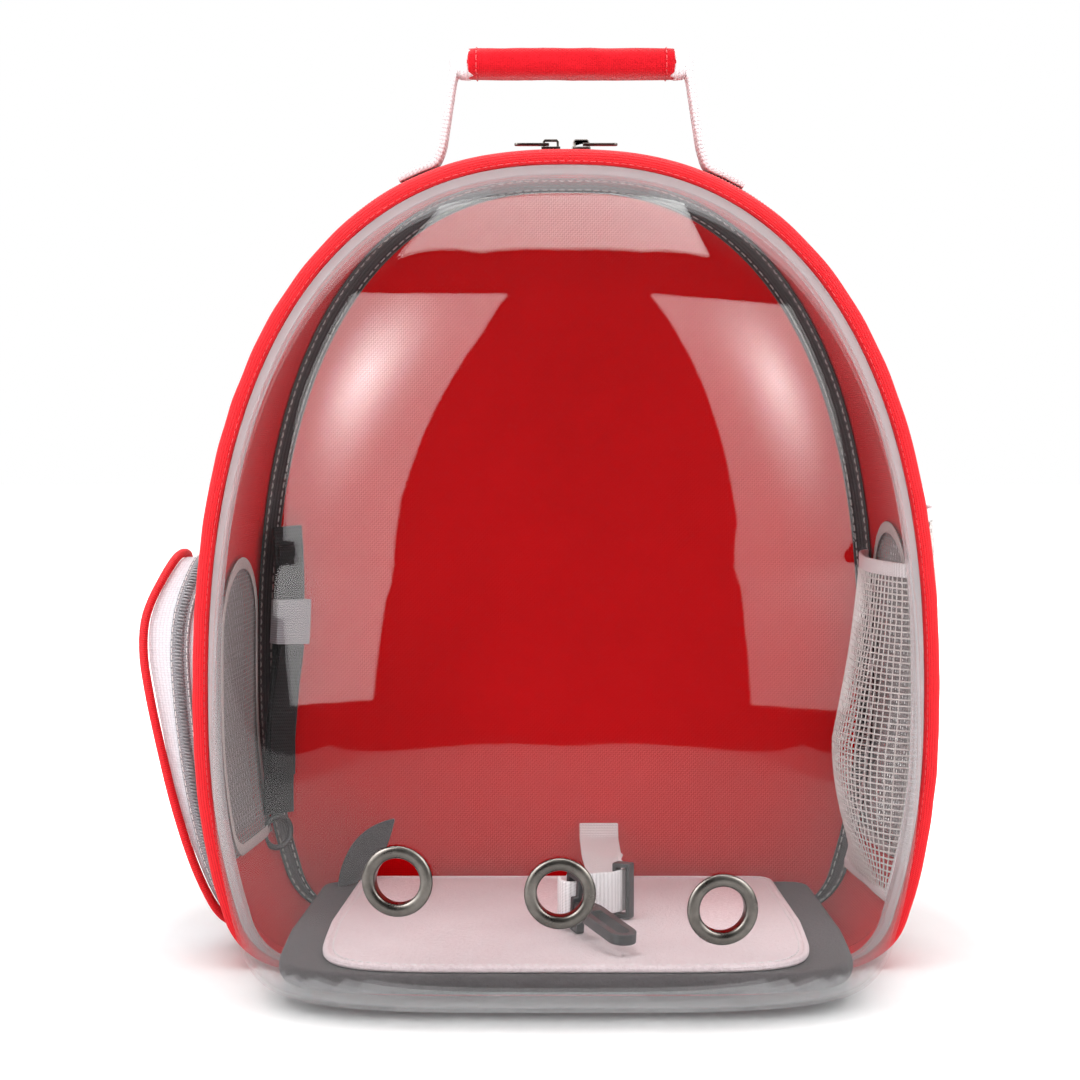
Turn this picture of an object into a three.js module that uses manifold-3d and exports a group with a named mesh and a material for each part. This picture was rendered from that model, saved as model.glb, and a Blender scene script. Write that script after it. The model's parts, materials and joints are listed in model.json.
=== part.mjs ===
// Bubble pet carrier backpack: a clear moulded bubble zipped to the front of a red fabric body.
// Millimetres, +Z up. The bubble faces -Y and +X is to the right of someone facing it.
// The origin is on the floor, in the middle of the fabric base.
// "depth" below is measured backwards from the plane where the bubble's flange is sewn in.

import * as THREE from 'three';
import { mergeVertices } from 'three/addons/utils/BufferGeometryUtils.js';
import Module from 'manifold-3d';

const wasm = await Module();
wasm.setup();

// Body outline, seen from the front at the flange
const HALF_WIDTH = 177;
const BODY_TOP = 389;
const WIDEST_Z = 125;
const TOP_POWER = 2.37;
const SIDE_POWER = 2.3;
const CORNER_RADIUS = 36;
const FOOT_INSET = 48;
const CORNER_END = THREE.MathUtils.degToRad(14);

// Body depth and how it narrows to the back
const BODY_DEPTH = 121;
const SIDE_TAPER = 15;
const TOP_TAPER = 3;
const SHOULDER_SWELL = 8;
const COVER_INSET = 1.5;
const WALL = 2.5;
const GAP = 0.3;
const SEAT_GAP = 0.8;

// Steps round half of the outline
const FOOT_STEPS = 2;
const CORNER_STEPS = 4;
const SIDE_STEPS = 4;
const TOP_STEPS = 11;

// Front edge: binding, door band and zip
const BINDING_WIDTH = 7;
const BINDING_FRONT = 3.4;
const BINDING_BACK = 5;
const BINDING_FLOOR = 2.9;
const DOOR_BAND_DEPTH = 8.5;
const ZIP_TAPE_DEPTH = 12;
const ZIP_COIL_WIDTH = 5;
const ZIP_COIL_HEIGHT = 1.2;
const ZIP_END_STEP = 6;

// Bubble
const BUBBLE_DEPTH = 126;
const BUBBLE_WALL = 1.6;
const BUBBLE_INSET = 11.5;
const BUBBLE_FLOOR = 4;
const BUBBLE_CENTRE_Z = 118;
const BUBBLE_TOP_POWER = 2.15;
const BUBBLE_FLOOR_POWER = 11;
const BUBBLE_PLAN_POWER = 2.4;
const BUBBLE_PLAN_POWER_LOW = 3.8;
const BUBBLE_PLAN_FADE = 200;
const BUBBLE_ROWS = 12;
const LIP_HALF = 0.8;

// Air holes and their eyelets
const EYELET_HOLE = 10;
const EYELET_RADIUS = 15.5;
const EYELET_BARREL = 11.3;
const EYELET_SEAT = 0.6;
const EYELET_GRIP = 2.8;
const EYELETS = [
  { name: 'eyelet_left', x: -72.6, z: 68 },
  { name: 'eyelet_middle', x: -2.6, z: 63.2 },
  { name: 'eyelet_right', x: 67.4, z: 55.8 },
];

// Back panel and its seams
const PANEL_THICKNESS = 13;
const PANEL_FRONT = 3.5;
const REAR_BINDING_WIDTH = 6.3;
const REAR_BINDING_DEPTH = 8;
const SEAM_TAPE_WIDTH = 7;

// Windows in the side walls, as depths and heights
const WINDOW = { front: 35, back: BODY_DEPTH - 24, foot: 54 };
const WINDOW_TOP_LEFT = 185;
const WINDOW_TOP_RIGHT = 203;
const NET_OVERLAP = 6;
const NET_THICKNESS = 1;

// Nets on the right side
const INNER_NET = { front: 24, back: BODY_DEPTH - 11, foot: 30, top: 189, sag: 27, belly: 0.44, lift: 0.42 };
const OUTER_NET = { front: 30, back: BODY_DEPTH - 13, foot: 18, top: 212, bulge: 14 };
const HEM_HEIGHT = 6;
const HEM_THICKNESS = 2.6;

// White wedge pocket on the left side
const POCKET_FRONT = 28;
const POCKET_BACK = BODY_DEPTH - 13;
const POCKET_FOOT = 13;
const POCKET_TOP = 192;
const POCKET_THROW = 32;
const POCKET_WALL = 2;
const POCKET_STEPS = 28;
const POCKET_WAIST = 0.45;
const POCKET_ROUND = { top: 2.4, foot: 4 };
const POCKET_PIPING = 2.2;
const POCKET_ZIP_WIDTH = 9;
const POCKET_ZIP_THICKNESS = 1.6;
// How far the pocket's face stands off, as shares of its height and of its throw
const POCKET_PROFILE = [
  { height: 0, throw: 0.34 },
  { height: 0.28, throw: 0.5 },
  { height: 0.5, throw: 0.67 },
  { height: 0.67, throw: 0.87 },
  { height: 0.79, throw: 1 },
  { height: 0.9, throw: 0.95 },
  { height: 1, throw: 0.66 },
];

// Floor inside
const BOARD_CLEARANCE = 2.3;
const BOARD_THICKNESS = 3;
const PAD_THICKNESS = 9;
const MAT_THICKNESS = 2.7;
const FLOOR_BACK_CLEARANCE = 1.2;
const FLOOR_FRONT = 98;
const BOARD_SETBACK = 13;
const BOARD_BORDER = 16;
const PAD_BORDER = 1;
const MAT_BORDER = 21;
const FLOOR_EDGE = 1.2;
const FLOOR_FLARE = 4;
const FLOOR_NARROWING = 6;
const FLOOR_CORNER = 10;
const FLOOR_NOSE_POWER = 6;
const FLOOR_NOSE_STEPS = 16;

// Carrying handle
const GRIP_LENGTH = 100;
const GRIP_THICKNESS = 15;
const GRIP_WIDTH = 31;
const HANDLE_STAND = 51;
const HANDLE_DEPTH = 45;
const HANDLE_X = 2.6;
const HANDLE_SPREAD_TOP = 57;
const HANDLE_SPREAD_FOOT = 63;
const HANDLE_FOOT = 20;
const WEBBING = 2.4;
const WEBBING_WIDTH = 25;

// Zip sliders and pull tabs on the apex
const SLIDER_OFFSET = 7.2;
const SLIDER_LENGTH = 9;
const SLIDER_WIDTH = 8.5;
const SLIDER_HEIGHT = 3;
const CROWN_RISE = 3.6;
const CROWN_BAR = 1.2;
const CROWN_WIDTH = 2;
const TAB_LENGTH = 16.5;
const TAB_WIDTH = 6.6;
const TAB_THICKNESS = 1.2;
const TAB_BAR = 1.3;
const TAB_EYE = 3.9;
const PIVOT_SHIFT = 1.4;
const PIVOT_RISE = 1.15;

// Black strap in the left back corner
const INNER_STRAP = { setback: 20, top: 205, foot: 58, width: 18, thickness: 2.4 };
const INNER_RING = { radius: 8, wire: 1.5 };
const CORNER_FLAP = { height: 46, width: 22, thickness: 2 };

// Safety leash on the mat
const LEASH_X = 17;
const LEASH_Z = 47;
const LEASH_WIDTH = 20;
const LEASH_THICKNESS = 2;
const LEASH_CLEARANCE = 1.2;
const LEASH_BAR_X = 27.4;
const LEASH_BAR_DEPTH = 7;
const LEASH_BAR_TURN = THREE.MathUtils.degToRad(63);
const LEASH_BAR_SLOT = 4.8;
const EYE_X = 6;
const EYE_DEPTH = -26;
const EYE_RIM = 2.2;
const EYE_LENGTH = 14;
const EYE_THICKNESS = 4;
const EYE_BAR = 3;
const HOOK_LENGTH = 54;
const HOOK_WIDTH = 13;
const HOOK_THICKNESS = 5;
const HOOK_PIN = 2;
const HOOK_TURN = THREE.MathUtils.degToRad(-65.8);
const HOOK_DROP = THREE.MathUtils.degToRad(6.3);

// Shoulder straps on the back
const STRAP_WIDTH = 60;
const STRAP_THICKNESS = 11;
const STRAP_TOP_X = 42;
const STRAP_FOOT_X = 78;
const STRAP_TOP_Z = 325;
const STRAP_FOOT_Z = 118;
const STRAP_BOW = 34;
const LOCK_WIDTH = 34;
const LOCK_HEIGHT = 24;
const LOCK_THICKNESS = 4;
const LOCK_RIM = 4;
const LOCK_SLOT = 3.6;
const TAIL_X = 100;
const TAIL_Z = 26;

const FLANGE_Y = -BODY_DEPTH / 2;
const BODY_REAR = BODY_DEPTH;
const ZIP_START = BINDING_BACK + GAP + DOOR_BAND_DEPTH + GAP;
const WALL_START = ZIP_START + ZIP_TAPE_DEPTH + GAP;
const PANEL_INNER = BODY_REAR - PANEL_FRONT;
const PANEL_OUTER = PANEL_INNER + PANEL_THICKNESS;
const BOARD_Z = BUBBLE_FLOOR + BUBBLE_WALL + BOARD_CLEARANCE;
const MAT_TOP = BOARD_Z + BOARD_THICKNESS + PAD_THICKNESS + MAT_THICKNESS + 2 * GAP;

const HANDLE_TOP = BODY_TOP + HANDLE_STAND;
const EYE_HEIGHT = LEASH_WIDTH + 2 * LEASH_CLEARANCE + 2 * EYE_RIM;
const LEASH_AXIS_Z = MAT_TOP + EYE_HEIGHT / 2 + GAP;

function place(x, depth, z) {
  return new THREE.Vector3(x, depth + FLANGE_Y, z);
}

// Materials

function material(color, roughness, metalness, extra = {}) {
  return new THREE.MeshStandardMaterial({ color, roughness, metalness, ...extra });
}

const CLEAR = material(0xdfe6ea, 0.05, 0, { transparent: true, opacity: 0.25 });
const RED_FABRIC = material(0xc4101f, 0.8, 0);
const RED_PIPING = material(0xe0202e, 0.6, 0);
const WHITE_FABRIC = material(0xe8e8f0, 0.85, 0);
const WHITE_WEBBING = material(0xe9e6ea, 0.85, 0);
const WHITE_NET = material(0xdcd6d2, 0.9, 0);
const GREY_NET = material(0x77777a, 0.9, 0);
const GREY_FELT = material(0x5a5658, 0.95, 0);
const BLACK_WEBBING = material(0x1c1c1e, 0.85, 0);
const BLACK_PLASTIC = material(0x232326, 0.45, 0);
const ZIP_GREY = material(0x8d8d92, 0.6, 0.1);
const ZIP_RED = material(0xa01019, 0.65, 0.05);
const MAT_PLUSH = material(0xe9d3d8, 0.95, 0);
const GUNMETAL = material(0x5d5a54, 0.28, 0.95);

// Solids from rings of points

function meshFrom(name, geometry, finish) {
  const mesh = new THREE.Mesh(geometry, finish);
  mesh.name = name;
  return mesh;
}

function signedVolume(points, faces) {
  let volume = 0;
  for (const [a, b, c] of faces) {
    volume += points[a].dot(new THREE.Vector3().crossVectors(points[b], points[c])) / 6;
  }
  return volume;
}

function geometryFrom(points, faces) {
  const inward = signedVolume(points, faces) < 0;
  const index = faces.flatMap(([a, b, c]) => (inward ? [a, c, b] : [a, b, c]));
  const geometry = new THREE.BufferGeometry();
  geometry.setAttribute('position', new THREE.Float32BufferAttribute(points.flatMap((p) => [p.x, p.y, p.z]), 3));
  geometry.setIndex(index);
  return geometry;
}

function flatCap(outline) {
  return THREE.ShapeUtils.triangulateShape(outline.map(([x, y]) => new THREE.Vector2(x, y)), []);
}

// Joins rings of equal length into a closed body. The ends are joined to each other, or capped by a
// pole, by a flat cap whose outline is given, or by the triangles given for one ring.
function solidFromRings(rings, { loop = false, startPole, endPole, cap, capFaces } = {}) {
  const count = rings[0].length;
  const points = rings.flat();
  const faces = [];
  const last = loop ? rings.length : rings.length - 1;
  for (let i = 0; i < last; i += 1) {
    const row = i * count;
    const next = ((i + 1) % rings.length) * count;
    for (let j = 0; j < count; j += 1) {
      const k = (j + 1) % count;
      faces.push([row + j, row + k, next + k], [row + j, next + k, next + j]);
    }
  }
  const closeWithPole = (pole, row, flip) => {
    points.push(pole);
    const tip = points.length - 1;
    for (let j = 0; j < count; j += 1) {
      const k = (j + 1) % count;
      faces.push(flip ? [row + k, row + j, tip] : [row + j, row + k, tip]);
    }
  };
  if (!loop) {
    const end = (rings.length - 1) * count;
    if (startPole) closeWithPole(startPole, 0, true);
    if (endPole) closeWithPole(endPole, end, false);
    for (const [a, b, c] of capFaces ?? (cap ? flatCap(cap) : [])) {
      faces.push([a, c, b]);
      faces.push([end + a, end + b, end + c]);
    }
  }
  return geometryFrom(points, faces);
}

// A flat band along a path of stations, each with a point and the direction of its width
function ribbon(stations, width, thickness) {
  const section = [[-1, -1], [1, -1], [1, 1], [-1, 1]];
  const rings = stations.map(({ point, across }, i) => {
    const before = stations[Math.max(i - 1, 0)].point;
    const after = stations[Math.min(i + 1, stations.length - 1)].point;
    const along = after.clone().sub(before).normalize();
    const wide = across.clone().addScaledVector(along, -across.dot(along)).normalize();
    const thick = new THREE.Vector3().crossVectors(along, wide);
    return section.map(([u, v]) => point.clone()
      .addScaledVector(wide, (u * width) / 2)
      .addScaledVector(thick, (v * thickness) / 2));
  });
  return solidFromRings(rings, { cap: section });
}

// A round tube along a closed loop of points that lie near one plane
function loopTube(points, radius, sides, normal) {
  const rings = points.map((point, i) => {
    const before = points[(i + points.length - 1) % points.length];
    const after = points[(i + 1) % points.length];
    const along = after.clone().sub(before).normalize();
    const out = new THREE.Vector3().crossVectors(along, normal).normalize();
    const up = new THREE.Vector3().crossVectors(out, along);
    return Array.from({ length: sides }, (_, j) => {
      const turn = (j / sides) * Math.PI * 2;
      return point.clone()
        .addScaledVector(out, Math.cos(turn) * radius)
        .addScaledVector(up, Math.sin(turn) * radius);
    });
  });
  return solidFromRings(rings, { loop: true });
}

// A thin sheet on a grid of shares u and v, from one face to the other
function sheet(columns, rows, front, back) {
  const ring = (v) => {
    const at = (face, i) => face(i / columns, v);
    const there = Array.from({ length: columns + 1 }, (_, i) => at(front, i));
    const home = Array.from({ length: columns + 1 }, (_, i) => at(back, columns - i));
    return [...there, ...home];
  };
  const rings = Array.from({ length: rows + 1 }, (_, j) => ring(j / rows));
  const last = 2 * columns + 1;
  const capFaces = Array.from({ length: columns }, (_, i) => [[i, i + 1, last - i - 1], [i, last - i - 1, last - i]]).flat();
  return solidFromRings(rings, { capFaces });
}

// Cutting and joining

function manifoldFrom(geometry) {
  const bare = geometry.clone();
  bare.deleteAttribute('normal');
  bare.deleteAttribute('uv');
  const merged = mergeVertices(bare, 1e-4);
  return new wasm.Manifold(new wasm.Mesh({
    numProp: 3,
    vertProperties: new Float32Array(merged.attributes.position.array),
    triVerts: new Uint32Array(merged.index.array),
  }));
}

function geometryFromManifold(solid) {
  const mesh = solid.getMesh();
  const geometry = new THREE.BufferGeometry();
  geometry.setAttribute('position', new THREE.Float32BufferAttribute(mesh.vertProperties, 3));
  geometry.setIndex([...mesh.triVerts]);
  return geometry;
}

function cut(geometry, tools) {
  const solid = tools.reduce((body, tool) => body.subtract(manifoldFrom(tool)), manifoldFrom(geometry));
  return geometryFromManifold(solid);
}

function join(geometries) {
  const [first, ...rest] = geometries.map(manifoldFrom);
  return geometryFromManifold(rest.reduce((body, piece) => body.add(piece), first));
}

// Body outline

function outlineFrame({ taper = 0, drop = 0, inset = 0, floor = 0 }) {
  const half = HALF_WIDTH - taper - inset;
  const centreX = HALF_WIDTH - FOOT_INSET - taper;
  const radiusX = CORNER_RADIUS - inset;
  const radiusZ = CORNER_RADIUS - floor;
  return {
    half,
    centreX,
    radiusX,
    radiusZ,
    floor,
    top: BODY_TOP - drop - inset,
    cornerX: centreX + radiusX * Math.cos(CORNER_END),
    cornerZ: CORNER_RADIUS - radiusZ * Math.sin(CORNER_END),
  };
}

function halfWidthAt(z, edge) {
  const f = outlineFrame(edge);
  if (z >= WIDEST_Z) {
    const share = Math.min((z - WIDEST_Z) / (f.top - WIDEST_Z), 1);
    return f.half * (1 - share ** TOP_POWER) ** (1 / TOP_POWER);
  }
  if (z >= f.cornerZ) {
    const share = (WIDEST_Z - z) / (WIDEST_Z - f.cornerZ);
    return f.half - (f.half - f.cornerX) * share ** SIDE_POWER;
  }
  const share = Math.min((CORNER_RADIUS - z) / f.radiusZ, 1);
  return f.centreX + f.radiusX * Math.sqrt(1 - share * share);
}

// A point of the top arch at a turn from the side (0) to the apex (a quarter turn)
function archPoint(turn, edge) {
  const f = outlineFrame(edge);
  const cos = Math.max(Math.cos(turn), 0);
  const sin = Math.sin(turn);
  const reach = (cos ** TOP_POWER + sin ** TOP_POWER) ** (-1 / TOP_POWER);
  const swell = (edge.swell ?? 0) * 2.6 * sin * sin * cos;
  return { x: f.half * reach * cos + swell * cos, z: WIDEST_Z + (f.top - WIDEST_Z) * reach * sin + swell * sin };
}

function steps(count, from, to) {
  return Array.from({ length: count }, (_, i) => from + ((to - from) * (i + 1)) / count);
}

// The right half of the outline, from the middle of the floor to the apex
function halfOutline(edge) {
  const f = outlineFrame(edge);
  const foot = steps(FOOT_STEPS, 0, f.centreX).map((x) => ({ x, z: f.floor }));
  const corner = steps(CORNER_STEPS, -Math.PI / 2, -CORNER_END).map((turn) => ({
    x: f.centreX + f.radiusX * Math.cos(turn),
    z: CORNER_RADIUS + f.radiusZ * Math.sin(turn),
  }));
  const side = steps(SIDE_STEPS, f.cornerZ, WIDEST_Z).map((z) => ({ x: halfWidthAt(z, edge), z }));
  const top = steps(TOP_STEPS, 0, Math.PI / 2).map((turn) => archPoint(turn, edge));
  return [{ x: 0, z: f.floor }, ...foot, ...corner, ...side, ...top];
}

// The whole outline as a closed loop from the middle of the floor, right side first
function outline(edge) {
  const right = halfOutline(edge);
  const left = right.slice(1, -1).reverse().map(({ x, z }) => ({ x: -x, z }));
  return [...right, ...left];
}

// The outline's edge at a depth in the body
function bodyEdge(depth, inset = 0, floor = 0) {
  const share = THREE.MathUtils.clamp(depth / BODY_DEPTH, 0, 1);
  return {
    taper: SIDE_TAPER * share,
    drop: TOP_TAPER * share,
    swell: SHOULDER_SWELL * Math.sin(Math.PI * share),
    inset,
    floor,
  };
}

// Half width of the body at a depth and a height
function wallX(depth, z, inset) {
  const edge = bodyEdge(depth, inset);
  if (z <= WIDEST_Z) return halfWidthAt(z, edge);
  let low = 0;
  let high = Math.PI / 2;
  for (let i = 0; i < 30; i += 1) {
    const middle = (low + high) / 2;
    if (archPoint(middle, edge).z < z) low = middle;
    else high = middle;
  }
  return archPoint(low, edge).x;
}

// Height of the body's top at a depth and a distance from the middle
function roofZ(depth, x, inset) {
  const edge = bodyEdge(depth, inset);
  let low = 0;
  let high = Math.PI / 2;
  for (let i = 0; i < 30; i += 1) {
    const middle = (low + high) / 2;
    if (archPoint(middle, edge).x > Math.abs(x)) low = middle;
    else high = middle;
  }
  return archPoint(low, edge).z;
}

// A band that follows the outline. Its section is a list of depth, inset and floor height.
function band(section, first, last) {
  const loops = section.map(([depth, inset, floor]) => outline(bodyEdge(depth, inset, floor))
    .map(({ x, z }) => place(x, depth, z)));
  const whole = loops[0].length;
  const start = first ?? 0;
  const end = last ?? whole - 1;
  const rings = Array.from({ length: end - start + 1 }, (_, i) => loops.map((ring) => ring[(start + i + whole) % whole]));
  if (first === undefined) return solidFromRings(rings, { loop: true });
  return solidFromRings(rings, { cap: section.map(([depth, inset]) => [depth, inset]) });
}

const OUTLINE_COUNT = 2 * (FOOT_STEPS + CORNER_STEPS + SIDE_STEPS + TOP_STEPS);

// Bubble

function bubbleEdge(wall) {
  return { inset: BUBBLE_INSET + wall, floor: BUBBLE_FLOOR + wall };
}

// Below 1 inside the bubble, 1 on its surface
function bubbleField(x, reach, z, wall) {
  const edge = bubbleEdge(wall);
  const top = BODY_TOP - edge.inset;
  if (z <= edge.floor || z >= top) return 2;
  const high = z >= BUBBLE_CENTRE_Z;
  const power = high ? BUBBLE_TOP_POWER : BUBBLE_FLOOR_POWER;
  const span = high ? top - BUBBLE_CENTRE_Z : BUBBLE_CENTRE_Z - edge.floor;
  const share = Math.abs(z - BUBBLE_CENTRE_Z) / span;
  const depth = (BUBBLE_DEPTH - wall) * (1 - share ** power) ** (1 / power);
  const low = THREE.MathUtils.clamp(1 - z / BUBBLE_PLAN_FADE, 0, 1);
  const plan = BUBBLE_PLAN_POWER + (BUBBLE_PLAN_POWER_LOW - BUBBLE_PLAN_POWER) * low;
  return (Math.abs(x) / halfWidthAt(z, edge)) ** plan + (reach / depth) ** plan;
}

function bubblePoint(foot, turn, wall) {
  const aim = (t) => [
    t * foot.x * Math.cos(turn),
    t * (BUBBLE_DEPTH - wall) * Math.sin(turn),
    BUBBLE_CENTRE_Z + t * (foot.z - BUBBLE_CENTRE_Z) * Math.cos(turn),
  ];
  let low = 0.3;
  let high = 2.5;
  for (let i = 0; i < 40; i += 1) {
    const middle = (low + high) / 2;
    const [x, reach, z] = aim(middle);
    if (bubbleField(x, reach, z, wall) < 1) low = middle;
    else high = middle;
  }
  const [x, reach, z] = aim(low);
  return place(x, -reach, z);
}

function bubbleRings(wall) {
  const feet = outline(bubbleEdge(wall));
  return Array.from({ length: BUBBLE_ROWS - 1 }, (_, i) => {
    const turn = (((i + 1) / BUBBLE_ROWS) * Math.PI) / 2;
    return feet.map((foot) => bubblePoint(foot, turn, wall));
  });
}

// Where a hole at x, z meets the bubble, and which way the surface faces there
function bubbleSpot(x, z) {
  let low = 0;
  let high = BUBBLE_DEPTH;
  for (let i = 0; i < 40; i += 1) {
    const middle = (low + high) / 2;
    if (bubbleField(x, middle, z, 0) < 1) low = middle;
    else high = middle;
  }
  const step = 0.5;
  const slope = (dx, dy, dz) => bubbleField(x + dx, low - 1 + dy, z + dz, 0) - bubbleField(x - dx, low - 1 - dy, z - dz, 0);
  const normal = new THREE.Vector3(slope(step, 0, 0), -slope(0, step, 0), slope(0, 0, step)).normalize();
  return { point: place(x, -low, z), normal };
}

function turnTo(normal) {
  return new THREE.Quaternion().setFromUnitVectors(new THREE.Vector3(0, 1, 0), normal);
}

function bubbleShell() {
  const lip = (inset, floor, depth) => outline({ inset, floor }).map(({ x, z }) => place(x, depth, z));
  const lipInset = BINDING_WIDTH + GAP;
  const lipFloor = BINDING_FLOOR + GAP;
  const rings = [
    ...bubbleRings(BUBBLE_WALL).reverse(),
    lip(BUBBLE_INSET + BUBBLE_WALL, BUBBLE_FLOOR + BUBBLE_WALL, LIP_HALF),
    lip(lipInset, lipFloor, LIP_HALF),
    lip(lipInset, lipFloor, -LIP_HALF),
    lip(BUBBLE_INSET, BUBBLE_FLOOR, -LIP_HALF),
    ...bubbleRings(0),
  ];
  const shell = solidFromRings(rings, {
    startPole: place(0, BUBBLE_WALL - BUBBLE_DEPTH, BUBBLE_CENTRE_Z),
    endPole: place(0, -BUBBLE_DEPTH, BUBBLE_CENTRE_Z),
  });
  const drills = EYELETS.map(({ x, z }) => {
    const spot = bubbleSpot(x, z);
    const drill = new THREE.CylinderGeometry(EYELET_BARREL + GAP, EYELET_BARREL + GAP, 30, 20);
    drill.applyQuaternion(turnTo(spot.normal));
    drill.translate(spot.point.x, spot.point.y, spot.point.z);
    return drill;
  });
  return meshFrom('bubble_shell', cut(shell, drills), CLEAR);
}

function eyelets() {
  const front = EYELET_SEAT;
  const washer = -(BUBBLE_WALL + EYELET_GRIP);
  const profile = [
    [EYELET_HOLE, washer - 0.9], [EYELET_HOLE, front + 0.6], [EYELET_HOLE + 1.4, front + 2.1],
    [EYELET_RADIUS - 1.6, front + 1.9], [EYELET_RADIUS, front + 0.6], [EYELET_RADIUS - 0.5, front],
    [EYELET_BARREL, front], [EYELET_BARREL, washer], [EYELET_RADIUS - 1.8, washer],
    [EYELET_RADIUS - 1.8, washer - 0.9], [EYELET_HOLE, washer - 0.9],
  ].reverse().map(([radius, height]) => new THREE.Vector2(radius, height));
  return EYELETS.map(({ name, x, z }) => {
    const spot = bubbleSpot(x, z);
    const ring = meshFrom(name, new THREE.LatheGeometry(profile, 14), GUNMETAL);
    ring.position.copy(spot.point);
    ring.quaternion.copy(turnTo(spot.normal));
    return ring;
  });
}

// Front edge

function frontBinding() {
  const front = -BINDING_FRONT;
  const slot = LIP_HALF + GAP;
  const section = [
    [front, 1.8, 0.9], [front, BINDING_WIDTH - 1, BINDING_FLOOR - 0.5], [-slot, BINDING_WIDTH, BINDING_FLOOR],
    [BINDING_BACK - 1.5, BINDING_WIDTH, BINDING_FLOOR], [BINDING_BACK, BINDING_WIDTH - 1.5, BINDING_FLOOR - 0.6],
    [BINDING_BACK, 1, 0.4], [BINDING_BACK - 1.8, 0, 0], [front + 2, 0, 0],
  ];
  return meshFrom('front_binding', band(section), RED_PIPING);
}

function wallSection(from, to, thickness = WALL) {
  return [
    [from, COVER_INSET, 0], [to, COVER_INSET, 0],
    [to, COVER_INSET + thickness, thickness], [from, COVER_INSET + thickness, thickness],
  ];
}

function doorBand() {
  const from = BINDING_BACK + GAP;
  return meshFrom('door_band', band(wallSection(from, from + DOOR_BAND_DEPTH)), RED_FABRIC);
}

function zipTape() {
  const middle = ZIP_START + ZIP_TAPE_DEPTH / 2;
  const end = ZIP_START + ZIP_TAPE_DEPTH;
  const half = ZIP_COIL_WIDTH / 2;
  const face = COVER_INSET + 0.4;
  const proud = face - ZIP_COIL_HEIGHT;
  const section = [
    [ZIP_START, face, 0], [middle - half, face, 0], [middle - half + 0.6, proud, 0], [middle + half - 0.6, proud, 0],
    [middle + half, face, 0], [end, face, 0], [end, face + 1.4, 2], [ZIP_START, face + 1.4, 2],
  ];
  return meshFrom('zip_tape', band(section, ZIP_END_STEP, OUTLINE_COUNT - ZIP_END_STEP), ZIP_RED);
}

function hingeCloth() {
  const end = ZIP_START + ZIP_TAPE_DEPTH;
  const first = OUTLINE_COUNT - ZIP_END_STEP;
  const cloth = band(wallSection(ZIP_START, end), first, OUTLINE_COUNT + ZIP_END_STEP);
  // The cloth stops short of the zip's ends
  const slice = new THREE.BoxGeometry(4 * HALF_WIDTH, ZIP_TAPE_DEPTH + 10, BODY_TOP);
  const edge = outline(bodyEdge(ZIP_START))[ZIP_END_STEP];
  slice.translate(0, ZIP_START + FLANGE_Y + ZIP_TAPE_DEPTH / 2, BODY_TOP / 2 + edge.z - GAP * 3);
  return meshFrom('hinge_cloth', cut(cloth, [slice]), RED_FABRIC);
}

// Body wall with an arched window cut in each side

function windowCutter(side, top) {
  const radius = (WINDOW.back - WINDOW.front) / 2;
  const shape = new THREE.Shape();
  shape.moveTo(WINDOW.front + FLANGE_Y, WINDOW.foot);
  shape.lineTo(WINDOW.back + FLANGE_Y, WINDOW.foot);
  shape.lineTo(WINDOW.back + FLANGE_Y, top - radius);
  shape.absarc((WINDOW.front + WINDOW.back) / 2 + FLANGE_Y, top - radius, radius, 0, Math.PI, false);
  const length = HALF_WIDTH;
  const geometry = new THREE.ExtrudeGeometry(shape, { depth: length, bevelEnabled: false, curveSegments: 10 });
  const basis = new THREE.Matrix4().makeBasis(
    new THREE.Vector3(0, 1, 0), new THREE.Vector3(0, 0, 1), new THREE.Vector3(1, 0, 0),
  );
  geometry.applyMatrix4(basis);
  geometry.translate(side > 0 ? HALF_WIDTH / 2 : -HALF_WIDTH * 1.5, 0, 0);
  return geometry;
}

function bodyWall() {
  const depths = [0, 0.33, 0.67, 1].map((share) => WALL_START + (BODY_REAR - WALL_START) * share);
  const section = [
    ...depths.map((depth) => [depth, COVER_INSET, 0]),
    ...depths.reverse().map((depth) => [depth, COVER_INSET + WALL, WALL]),
  ];
  const cutters = [windowCutter(-1, WINDOW_TOP_LEFT), windowCutter(1, WINDOW_TOP_RIGHT)];
  return meshFrom('body_wall', cut(band(section), cutters), RED_FABRIC);
}

// Netting sewn inside a window, with an arched top
function windowNet(name, side, top, finish) {
  const front = WINDOW.front - NET_OVERLAP;
  const back = WINDOW.back + NET_OVERLAP;
  const foot = WINDOW.foot - NET_OVERLAP;
  const rise = (back - front) / 2;
  const face = (inset) => (u, v) => {
    const depth = front + (back - front) * u;
    const arch = top + NET_OVERLAP - rise * (1 - Math.sqrt(Math.max(1 - (2 * u - 1) ** 2, 0)));
    const z = foot + (arch - foot) * v;
    return place(side * wallX(depth, z, COVER_INSET + WALL + inset), depth, z);
  };
  return meshFrom(name, sheet(6, 6, face(SEAT_GAP), face(SEAT_GAP + NET_THICKNESS)), finish);
}

// Nets on the right

function innerNet() {
  const { front, back, foot, top, sag, belly, lift } = INNER_NET;
  const face = (extra) => (u, v) => {
    const depth = front + (back - front) * u;
    const z = foot + (top - foot) * v;
    const side = Math.sin(Math.PI * u) ** 0.6;
    const rise = Math.max(v - belly, 0) / (1 - belly);
    const fall = Math.sin(Math.PI * Math.min(v / belly, 1) * 0.5) * (1 - (1 - lift) * rise);
    const inset = SEAT_GAP + 1 + sag * side * fall + extra;
    return place(wallX(depth, z, COVER_INSET + WALL) - inset, depth, z);
  };
  return meshFrom('net_pocket_inner', sheet(9, 9, face(0), face(1.4)), WHITE_NET);
}

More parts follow.
